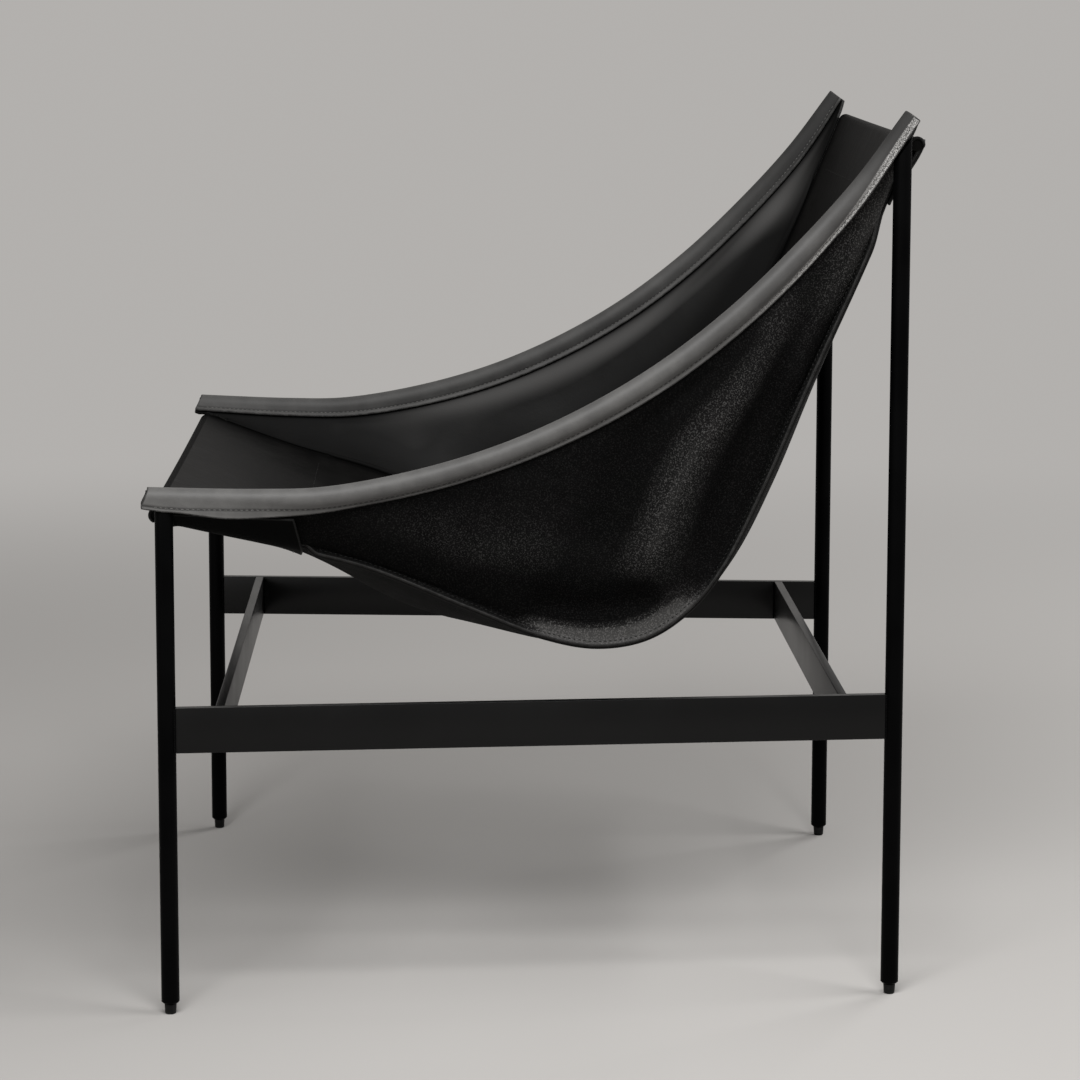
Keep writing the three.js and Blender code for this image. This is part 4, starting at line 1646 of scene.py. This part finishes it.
    def _grid(self, span: PanelSpan, folds: np.ndarray) -> np.ndarray:
        """A side panel's grid: its span, swollen and folded.

        Args:
            span: The rows.
            folds: How far the free leather is folded out.

        Returns:
            The grid.
        """
        bulge = self.form.swell(span.depth)[:, None] * np.sin(math.pi * span.down)[None, :]
        body = span.body + span.outward[:, None] * (bulge + folds)[..., None]
        head, lip = self.head_columns, self.lip_columns
        start = [mix(span.start, span.free, k / head) for k in range(head)]
        flange = [mix(span.corner, span.edge, k / lip) for k in range(1, lip + 1)]
        grid = np.concatenate([np.stack(start, 1), body, np.stack(flange, 1)], axis=1)
        return self._ease_corner(grid, head + self.columns - 1)

    def _marks(
        self, span: PanelSpan, side: Side, folds: np.ndarray
    ) -> tuple[np.ndarray, np.ndarray]:
        """Where highlight and shade are painted on a side panel.

        Args:
            span: The rows.
            side: Its side of the chair.
            folds: How far the free leather is folded out.

        Returns:
            The two marks, for each point of the panel's grid.
        """
        share, down, depth = span.share, span.down[None, :], span.depth[:, None]
        free = slice(self.head_columns, -self.lip_columns)
        columns = self.head_columns + self.columns + self.lip_columns
        raised = np.zeros((len(share), columns))
        # Painted highlight on the folds' ridges, painted shade in their hollows, and the painted
        # strokes
        raised[:, free] = folds / self.full_height + span.laid(self.wear_and_painted_light[side])
        # Painted highlight on the left panel's rear
        if side is Side.LEFT:
            raised += ease(share, *self.rear_highlight_shares)[:, None] * self.rear_highlight
        # Painted highlight in a crescent on the flange, and painted shade on the rest of the flange
        rise, fall = self.crescent_shares[:2], self.crescent_shares[2:]
        crescent = self.crescent * ease(share, *rise) * (1 - ease(share, *fall))
        raised[:, -self.lip_columns :] = crescent[:, None] - self.flange_shade
        # Painted shade along the seam's crease, and a painted shadow just below the strip
        dark = np.exp(-(((1 - down) * depth / self.seam_shade_reach) ** 2))
        dark += np.exp(-((down * depth / self.strip_shadow_reach) ** 2))
        foot = ease(down, *self.foot_shade_down) * ease(share, *self.foot_shade_shares)[:, None]
        front = self.front_shade * (1 - ease(share, *self.front_shade_shares))[:, None]
        # Painted shade, full inside the strip and on the flange
        painted_shade = np.ones((len(share), columns))
        painted_shade[:, free] = np.maximum(np.clip(dark + self.foot_shade * foot, 0, 1), front)
        return np.clip(raised, *self.painted_light_limits), painted_shade

    def build(self, side: Side) -> bpy.types.Object:
        """One side panel, rough side out, from inside its strip to the flange of the seam.

        Args:
            side: The panel's side.

        Returns:
            The panel.
        """
        share = np.linspace(0.0, 1.0, self.stations)
        span = self._span(share)
        calm_start, calm_end = self.calm_shares
        calm = ease(span.down, 0.0, calm_start) * (1 - ease(span.down, calm_end, 1.0))
        folds = span.laid(self.folds[side]) * np.minimum(1.0, span.depth / self.full_depth)[:, None]
        folds = folds * calm[None, :]
        grid = self._grid(span, folds)
        raised, painted_shade = self._marks(span, side, folds)
        hide = Hide(f"leather_side_{side.value}", self.form.placed(grid),
                    self.form.sizes.hide_thickness, raised=raised, painted_shade=painted_shade)
        across = walked(grid)
        row = across[:, -1] - self.seam_stitch_edge
        lines = [self._read_rows(hide, across, row, Face.FLESH, self._bare_rows(share))]
        if side is Side.RIGHT:
            hide, lines = self._other_side(hide, lines)
        self.stitching.sew(f"side_seam_stitches_{side.value}", lines, "rough_leather")
        done, node = self.finishes, f"side_panel_{side.value}"
        return self._dress(hide, "rough_leather", node, done.grain, done.panel_edge)


@dataclass
class CentrePanel(Leather):
    """The long centre panel with its two hems and their stitches."""

    seat_stations: int = 320
    columns: int = 64
    fold_rows: int = 14
    hem_rows: int = 40
    least_lip: float = 0.4 * MM
    least_wing: float = 0.5 * MM
    hem_shade: float = 0.75
    hem_stitch_edge: float = 6 * MM
    hem_stitch_columns: int = 10

    # Pressed ends of the hems' rolls
    roll_end_depth: float = 1.2 * MM
    roll_end_margin: float = 0.6 * MM
    roll_end_inset: float = 0.9 * MM
    roll_end_softening: float = 0.4 * MM
    roll_end_vertices: int = 32
    roll_end_angle: float = math.radians(40)

    # Slow waves of the seat, each with its share of the height, turns along and across, start
    wave_height: float = 0.9 * MM
    wave_shares: tuple = (0.03, 0.15, 0.88, 0.98)
    waves: tuple = ((1.0, 11.0, 7.0, 0.4), (0.7, 23.0, -15.0, 1.9), (0.5, 5.0, 31.0, 4.1))

    def _edges(self, share: np.ndarray) -> tuple[np.ndarray, ...]:
        """The centre panel's left edge.

        Args:
            share: Shares of the seam.

        Returns:
            The cut edge, the corner, the seam, its run and the way out of the seat.
        """
        z = self.form.sizes
        seam, run, out = self.form.seam_frame(share)
        along, apart = self.form.lip_directions(out)
        corner = seam - apart * (z.hide_thickness + z.fit) / 2
        lip = np.maximum(self.form.lip_length(share) - self.rim, self.least_lip)
        return corner + along * lip[:, None], corner, seam, run, out

    def _rows(
        self, edge: np.ndarray, corner: np.ndarray, out: np.ndarray, sag: np.ndarray,
        reach: np.ndarray | None = None,
    ) -> np.ndarray:
        """Whole rows of the centre panel from their left edge and corner.

        Args:
            edge: Left edges.
            corner: Left corners.
            out: Ways out of the seat.
            sag: Depths in the middle.
            reach: Half widths that the sag spans, if it isn't the corner's.

        Returns:
            The rows.
        """
        reach = corner[:, 0] if reach is None else reach
        cross = np.linspace(1.0, -1.0, self.columns)
        share = np.minimum(np.abs(corner[:, :1] * cross) / reach[:, None], 1.0)
        depth = sag[:, None] * (share[:, :1] ** 2 - share**2)
        middle = corner[:, None] + out[:, None] * depth[..., None]
        middle[..., 0] = corner[:, :1] * cross
        steps = self.lip_columns
        lip = np.stack([mix(edge, corner, k / steps) for k in range(steps + 1)], axis=1)
        return np.concatenate([lip, middle[:, 1:-1], mirrored(lip[:, ::-1])], axis=1)

    def _hem(
        self, end_share: float, way: int, length: float,
        wing: Callable[[np.ndarray, np.ndarray, np.ndarray], np.ndarray],
    ) -> np.ndarray:
        """Rows that turn round the hem rod and come back under the panel.

        Args:
            end_share: Share of the seam at the sling's end.
            way: One if the hem runs on along the seam, minus one if back.
            length: Length of the hem from the rod to its cut edge.
            wing: Height of the hem's wings for the done share, the gap and the free height.

        Returns:
            The rows, from the rod to the cut edge.
        """
        z, form = self.form.sizes, self.form
        turn, layer = z.hem_turn, z.hide_thickness + z.fit
        at = np.array([end_share])
        edge, corner, _, run, out = self._edges(at)
        base = self._rows(edge, corner, out, form.sag(at))[0]
        angle = np.pi * (np.arange(self.fold_rows) + 0.5) / self.fold_rows
        fold = out[0] * (turn * (1 - np.cos(angle)))[:, None]
        fold = fold - way * run[0] * (turn * np.sin(angle))[:, None]
        fold = base[None] + fold[:, None]
        done = np.linspace(0.0, 1.0, self.hem_rows)
        share = end_share + way * (length - self.rim) / form.seam.length * done
        edge, corner, seam, run, out = self._edges(share)
        gap = mix(2 * turn, layer, ease(done, 0, 1))
        edge, corner = edge + out * gap[:, None], corner + out * gap[:, None]
        climb = form.rail_frame(share)[0] - seam
        reach = np.linalg.norm(climb, axis=1)
        up = unit(climb)
        outward = unit(np.cross(run, up))
        outward *= np.sign(outward[:, :1])
        free = np.maximum(reach - z.tail - z.wing_edge_room, 0) + gap
        beside = 1.5 * layer + z.hem_lip + form.swell(reach)
        level = np.sum((corner - seam) * out, axis=1)
        sheer = (beside - level * np.sum(outward * out, axis=1)) / outward[:, 0]
        height = wing(done, gap, free)
        target = seam[:, 0] + np.maximum(sheer, -gap)
        full, sag = corner[:, 0].copy(), form.sag(share)
        place = mix(full, target, np.minimum(1.0, height / gap))
        corner = corner + out * (sag * (1 - np.minimum(1.0, place / full) ** 2))[:, None]
        corner[:, 0] = place
        edge = corner + up * np.maximum(height - self.rim, self.least_wing)[:, None]
        edge = edge + run * (z.wing_rake_share * height * done)[:, None]
        return np.concatenate([fold, self._rows(edge, corner, out, sag, full)])

    def _roll_ends(self, name: str, share: float) -> None:
        """The pressed ends that close a hem's roll round its rod, one on each side.

        Args:
            name: Which hem.
            share: Share of the seam at that end of the sling.
        """
        turn = self.form.sizes.hem_turn
        _, corner, _, _, out = self._edges(np.array([share]))
        place = self.form.placed(corner[0] + out[0] * turn) - (self.roll_end_inset, 0.0, 0.0)
        for side, spot in ((Side.LEFT, place), (Side.RIGHT, mirrored(place))):
            Maker.deselect()
            bpy.ops.mesh.primitive_cylinder_add(
                vertices=self.roll_end_vertices, radius=turn + self.roll_end_margin,
                depth=self.roll_end_depth, location=tuple(spot), rotation=(0.0, math.pi / 2, 0.0),
            )
            obj = bpy.context.active_object
            obj.name = f"hem_end_{name}_{side.value}"
            bevel = obj.modifiers.new("softened", "BEVEL")
            bevel.width, bevel.segments = self.roll_end_softening, 3
            Maker.apply_modifiers(obj)
            Maker.settle(obj)
            bpy.ops.object.shade_smooth_by_angle(angle=self.roll_end_angle)
            obj.data.materials.append(self.finishes.seat)
            Maker.report(obj, "grain_leather")

    def _ripples(self, share: np.ndarray, rows: np.ndarray) -> np.ndarray:
        """Slow unevenness of the hide between its seams.

        Args:
            share: Share of the seam, one for each row.
            rows: The rows of points.

        Returns:
            How far each point is pressed out.
        """
        s, x = share[:, None], rows[..., 0]
        rise, fall = self.wave_shares[:2], self.wave_shares[2:]
        calm = ease(s, *rise) * (1 - ease(s, *fall))
        inside = 1 - (np.abs(x) / np.abs(x).max(axis=1, keepdims=True)) ** 6
        waves = sum(size * np.sin(a * s + b * x + start) for size, a, b, start in self.waves)
        return self.wave_height * waves * calm * np.clip(inside, 0, 1)

    def _sew(self, hide: Hide, first: int, share: np.ndarray) -> None:
        """Stitches of the seams' flanges and of the two hems.

        Args:
            hide: The centre panel.
            first: Its first row that isn't hem.
            share: Shares of the seam of the rows that aren't hem.
        """
        z, inset, across = self.form.sizes, self.hem_stitch_edge, walked(hide.grid)
        row = np.full(len(across), self.seam_stitch_edge)
        line = self._read_rows(hide, across, row, Face.FLESH, self._bare_rows(share, first))
        other = tuple(mirrored(part) for part in line)
        self.stitching.sew("centre_seam_stitches", [line, other], "grain_leather")
        hem_steps = lambda hem: round((self.hem_rows - 1) * inset / hem)
        run, last = self.form.seam.length, len(hide.grid) - 1
        lines = []
        for place, hem_row in (
            ((z.front_hem - inset) / run, hem_steps(z.front_hem)),
            (1 - (z.top_hem - inset) / run, last - hem_steps(z.top_hem)),
        ):
            for at in (first + round(place * (len(share) - 1)), hem_row):
                inside = slice(self.hem_stitch_columns, -self.hem_stitch_columns)
                lines.append((hide.surface(Face.GRAIN)[at, inside], hide.normals[at, inside]))
        self.stitching.sew("hem_stitches", lines, "grain_leather")

    def build(self) -> bpy.types.Object:
        """The long centre panel with its two hems and their stitches.

        Returns:
            The panel.
        """
        form, z = self.form, self.form.sizes
        ramp = lambda place: ease(place, z.wing_start, z.wing_start + z.wing_ramp)
        front = self._hem(
            0.0, 1, z.front_hem, lambda done, gap, free: free * ramp(done * z.front_hem)
        )
        top = self._hem(1.0, -1, z.top_hem, lambda done, gap, free: gap - z.top_wing_room)
        share = np.linspace(0.0, 1.0, self.seat_stations)
        edge, corner, _, _, out = self._edges(share)
        main = self._rows(edge, corner, out, form.sag(share))
        main = main + out[:, None] * self._ripples(share, main)[..., None]
        grid, lip = np.concatenate([front[::-1], main, top]), self.lip_columns
        grid = self._ease_corner(grid, lip, 2)
        grid = self._ease_corner(grid[:, ::-1], lip, 2)[:, ::-1]
        reach = np.linalg.norm(grid[:, lip:-lip] - grid[:, lip : lip + 1], axis=2)
        reach = np.minimum(reach, reach[:, ::-1])
        # Painted shade: full on the flanges, fading from the seams' creases, and over the front hem
        painted_shade = np.ones(grid.shape[:2])
        painted_shade[:, lip:-lip] = np.exp(-((reach / self.seam_shade_reach) ** 2))
        painted_shade[: len(front)] = np.maximum(painted_shade[: len(front)], self.hem_shade)
        hide = Hide("leather_centre", form.placed(grid), z.hide_thickness, painted_shade=painted_shade)
        self._sew(hide, len(front), share)
        for name, share_at in (("front", 0.0), ("top", 1.0)):
            self._roll_ends(name, share_at)
        done = self.finishes
        return self._dress(hide, "grain_leather", "centre_panel", done.seat, done.edge)


@dataclass
class Sling:
    """The leather: two strips round the rails, two side panels and the centre panel."""

    form: SlingForm
    finishes: Finishes

    def build(self) -> None:
        """Builds all the leather with its stitches."""
        strips, panels, centre = (
            kind(self.form, self.finishes) for kind in (RailStrips, SidePanels, CentrePanel)
        )
        hung = []
        for side in Side:
            strip, panel = strips.build(side), panels.build(side)
            strips.declare(strip, "folded", [f"rail_{side.value}"])
            panels.declare(panel, "hung", [strip])
            hung.append(panel)
        centre.declare(centre.build(), "hung", hung)


@dataclass
class SteelWork:
    """The welded frame: softened copies of its bars and rods, and the weld beads."""

    finishes: Finishes
    softening: float = 0.7 * MM
    glide_softening: float = 0.3 * MM
    bead_radius: float = 1.5 * MM
    bead_pitch: float = 1.5 * MM
    bead_inset: float = 1.5 * MM
    bead_flatness: float = 0.8
    bar_half: float = 4 * MM
    bead_beside: float = 4.2 * MM
    stretcher_rake: float = 0.0734
    merge_distance: float = 0.01 * MM
    flat_angle: float = math.radians(1)
    sharp_angle: float = math.radians(40)
    smooth_angle: float = math.radians(32)

    NODES = (
        "leg_front_left", "leg_front_right", "leg_rear_left", "leg_rear_right",
        "stretcher_left", "stretcher_right", "crossbar_front", "crossbar_rear",
    )
    GLIDES = (
        "glide_front_left", "glide_front_right", "glide_rear_left", "glide_rear_right",
    )
    HIDDEN = ("rail_left", "rail_right", "hem_rod_front", "hem_rod_top")

    def build(self) -> None:
        """Dresses the frame's pieces and lays the welds."""
        done = self.finishes
        for node in self.NODES:
            obj = self._softened(node, self.softening)
            obj.data.materials.append(done.steel if node.startswith("leg") else done.bar)
            Maker.report(obj, "steel", node)
        for node in self.GLIDES:
            obj = self._softened(node, self.glide_softening)
            obj.data.materials.append(done.plastic)
            Maker.report(obj, "glide", node)
        for node in self.HIDDEN:
            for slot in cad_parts[node].material_slots:
                slot.material = done.steel
        self._welds()

    def _softened(self, node: str, width: float) -> bpy.types.Object:
        """A merged copy of a node with its sharp edges rounded.

        Args:
            node: The node's name.
            width: Width of the rounding.

        Returns:
            The copy.
        """
        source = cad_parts[node]
        obj = source.copy()
        obj.data = source.data.copy()
        obj.name = f"{node}_finish"
        obj.data.name = obj.name
        obj.data.materials.clear()
        obj.parent = None
        bpy.context.scene.collection.objects.link(obj)
        Maker.activate(obj)
        bpy.ops.object.mode_set(mode="EDIT")
        bpy.ops.mesh.select_all(action="SELECT")
        bpy.ops.mesh.remove_doubles(threshold=self.merge_distance)
        bpy.ops.mesh.dissolve_limited(angle_limit=self.flat_angle)
        bpy.ops.object.mode_set(mode="OBJECT")
        bevel = obj.modifiers.new("softened", "BEVEL")
        bevel.width, bevel.segments = width, 3
        bevel.limit_method, bevel.angle_limit = "ANGLE", self.sharp_angle
        bevel.use_clamp_overlap = True
        Maker.apply_modifiers(obj)
        bpy.ops.object.shade_smooth_by_angle(angle=self.smooth_angle)
        return obj

    def _bead(self, name: str, start: Vector, end: Vector) -> bpy.types.Object:
        """One weld bead: overlapping drops from start to end.

        Args:
            name: Its name.
            start: Its first drop.
            end: Its last drop.

        Returns:
            The object.
        """
        run = end - start
        count = max(2, int(run.length / self.bead_pitch))
        Maker.deselect()
        bpy.ops.mesh.primitive_uv_sphere_add(segments=8, ring_count=6, radius=self.bead_radius)
        obj = bpy.context.active_object
        obj.name = name
        bpy.ops.object.mode_set(mode="EDIT")
        bpy.ops.mesh.select_all(action="SELECT")
        bpy.ops.transform.resize(value=(1.0, 1.0, self.bead_flatness))
        bpy.ops.object.mode_set(mode="OBJECT")
        bpy.ops.object.shade_smooth()
        row = obj.modifiers.new("row", "ARRAY")
        row.use_relative_offset, row.use_constant_offset = False, True
        row.constant_offset_displace = (0.0, 0.0, run.length / count)
        row.count = count + 1
        Maker.apply_modifiers(obj)
        turn = run.to_track_quat("Z", "Y").to_matrix().to_4x4()
        obj.matrix_world = Matrix.Translation(start) @ turn
        Maker.settle(obj)
        return obj

    def _corners(self) -> Iterable[tuple[float, float, Vector, Vector]]:
        """Where beads run down.

        Yields:
            A bead's place in plan, then the low and the high end of its bar's box.
        """
        for side in Side:
            low, high = (Vector(v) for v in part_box(f"stretcher_{side.value}"))
            for end, toward in (("front", 1), ("rear", -1)):
                leg_low, leg_high = (Vector(v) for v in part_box(f"leg_{end}_{side.value}"))
                axis, radius = (leg_low + leg_high) / 2, (leg_high.x - leg_low.x) / 2
                y = axis.y + toward * math.sqrt(radius**2 - self.bar_half**2)
                for face in (-1, 1):
                    yield axis.x + face * self.bead_beside, y, low, high
        for node in ("crossbar_front", "crossbar_rear"):
            low, high = (Vector(v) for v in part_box(node))
            for sign, end in ((-1, low.x), (1, high.x)):
                for y in (low.y, high.y):
                    yield end - sign * (y - low.y) * self.stretcher_rake, y, low, high

    def _welds(self) -> None:
        """Beads down both corners of every bar's end."""
        for number, (x, y, low, high) in enumerate(self._corners()):
            ends = (Vector((x, y, z)) for z in (low.z + self.bead_inset, high.z - self.bead_inset))
            obj = self._bead(f"weld_{number:02d}", *ends)
            obj.data.materials.append(self.finishes.steel)
            Maker.report(obj, "steel")


@dataclass(frozen=True)
class Studio:
    """Plain pale floor that fades into the backdrop, soft lamps and the photograph's view."""

    backdrop: tuple = (0.45, 0.436, 0.421)
    floor_albedo: tuple = (0.45, 0.436, 0.421)
    floor_half: float = 14.0
    fade_start: float = 0.9
    fade_end: float = 3.4
    ambient: float = 0.32
    eye: tuple = (3.2875, -0.0915, 0.8934)
    aim: tuple = (0.0, 0.0029, 0.4186)
    roll: float = math.radians(0.089)
    lens: float = 115.07
    sensor_width: float = 36.0
    shift_y: float = -0.05

    # Name, place, aim, size and power
    lamps: tuple = (
        ("near_high", (1.75, -0.15, 2.15), (0.0, 0.0, 0.5), (1.5, 1.0), 58.0),
        ("near_front", (2.6, -2.2, 1.4), (0.0, 0.0, 0.4), (1.6, 1.4), 12.0),
        ("top_rear", (0.7, 2.6, 2.5), (0.0, 0.0, 0.4), (2.0, 1.4), 58.0),
        ("far_rear", (-2.2, 2.4, 2.0), (0.0, 0.0, 0.4), (1.6, 1.4), 50.0),
    )

    def build(self) -> None:
        """Makes the camera, the floor, the world and the lamps."""
        self._camera()
        self._floor()
        self._world()
        for lamp in self.lamps:
            self._lamp(*lamp)
        bpy.context.scene.view_settings.view_transform = "Standard"

    def _camera(self) -> None:
        """The camera at the photograph's viewing angle."""
        data = bpy.data.cameras.new("photo_view")
        data.lens, data.sensor_width = self.lens, self.sensor_width
        data.shift_y = self.shift_y
        camera = bpy.data.objects.new("photo_view", data)
        bpy.context.scene.collection.objects.link(camera)
        camera.matrix_world = facing(self.eye, self.aim) @ Matrix.Rotation(self.roll, 4, "Z")
        bpy.context.scene.camera = camera

    def _floor(self) -> None:
        """A wide floor whose far part is the backdrop's colour."""
        Maker.deselect()
        bpy.ops.mesh.primitive_plane_add(size=2 * self.floor_half, location=(0.0, 0.0, 0.0))
        floor = bpy.context.active_object
        floor.name = "floor"
        bench = Bench.material("floor")
        where = bench.node("ShaderNodeTexCoord").out("Object")
        radius = bench.node("ShaderNodeVectorMath", {"operation": "LENGTH"}, {0: where})
        fade = radius.out("Value").step(self.fade_start, self.fade_end)
        near = bench.node("ShaderNodeBsdfDiffuse", None, {"Color": (*self.floor_albedo, 1.0)})
        far = self._glow(bench, "ShaderNodeEmission")
        blend = bench.node("ShaderNodeMixShader", None, {0: fade, 1: near.out(), 2: far})
        floor.data.materials.append(bench.surface(blend.out()))

    def _glow(self, bench: Bench, kind: str) -> Wire:
        """The backdrop's light: full where it is seen or mirrored, dimmer where it lights.

        Args:
            bench: The bench that it is made on.
            kind: The type of node that glows.

        Returns:
            The shader.
        """
        path = bench.node("ShaderNodeLightPath")
        seen = path.out("Is Camera Ray").most(path.out("Is Glossy Ray"))
        seen = seen.most(path.out("Is Transmission Ray"))
        values = {"Strength": seen * (1 - self.ambient) + self.ambient}
        values |= {"Color": (*self.backdrop, 1.0)}
        return bench.node(kind, None, values).out()

    def _world(self) -> None:
        """The backdrop all round."""
        world = bpy.data.worlds.new("studio")
        bpy.context.scene.world = world
        bench = Bench(world, "ShaderNodeOutputWorld")
        bench.surface(self._glow(bench, "ShaderNodeBackground"))

    @staticmethod
    def _lamp(name: str, eye: tuple, aim: tuple, size: tuple, power: float) -> None:
        """One soft rectangular lamp, unseen by the camera.

        Args:
            name: Its name.
            eye: Where it hangs.
            aim: Where it points.
            size: Its width and height.
            power: Its power in watts.
        """
        data = bpy.data.lights.new(name, "AREA")
        data.shape, data.size, data.size_y, data.energy = "RECTANGLE", size[0], size[1], power
        lamp = bpy.data.objects.new(name, data)
        bpy.context.scene.collection.objects.link(lamp)
        lamp.matrix_world = facing(eye, aim)
        lamp.visible_camera = False


def main() -> None:
    """Builds the scene."""
    logging.basicConfig(level=logging.INFO, format="%(name)s: %(message)s")
    Maker.deselect()
    Studio().build()
    finishes = Finishes()
    SteelWork(finishes).build()
    Sling(SlingForm(SlingSizes()), finishes).build()
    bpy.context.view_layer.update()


if __name__ == "__main__":
    main()
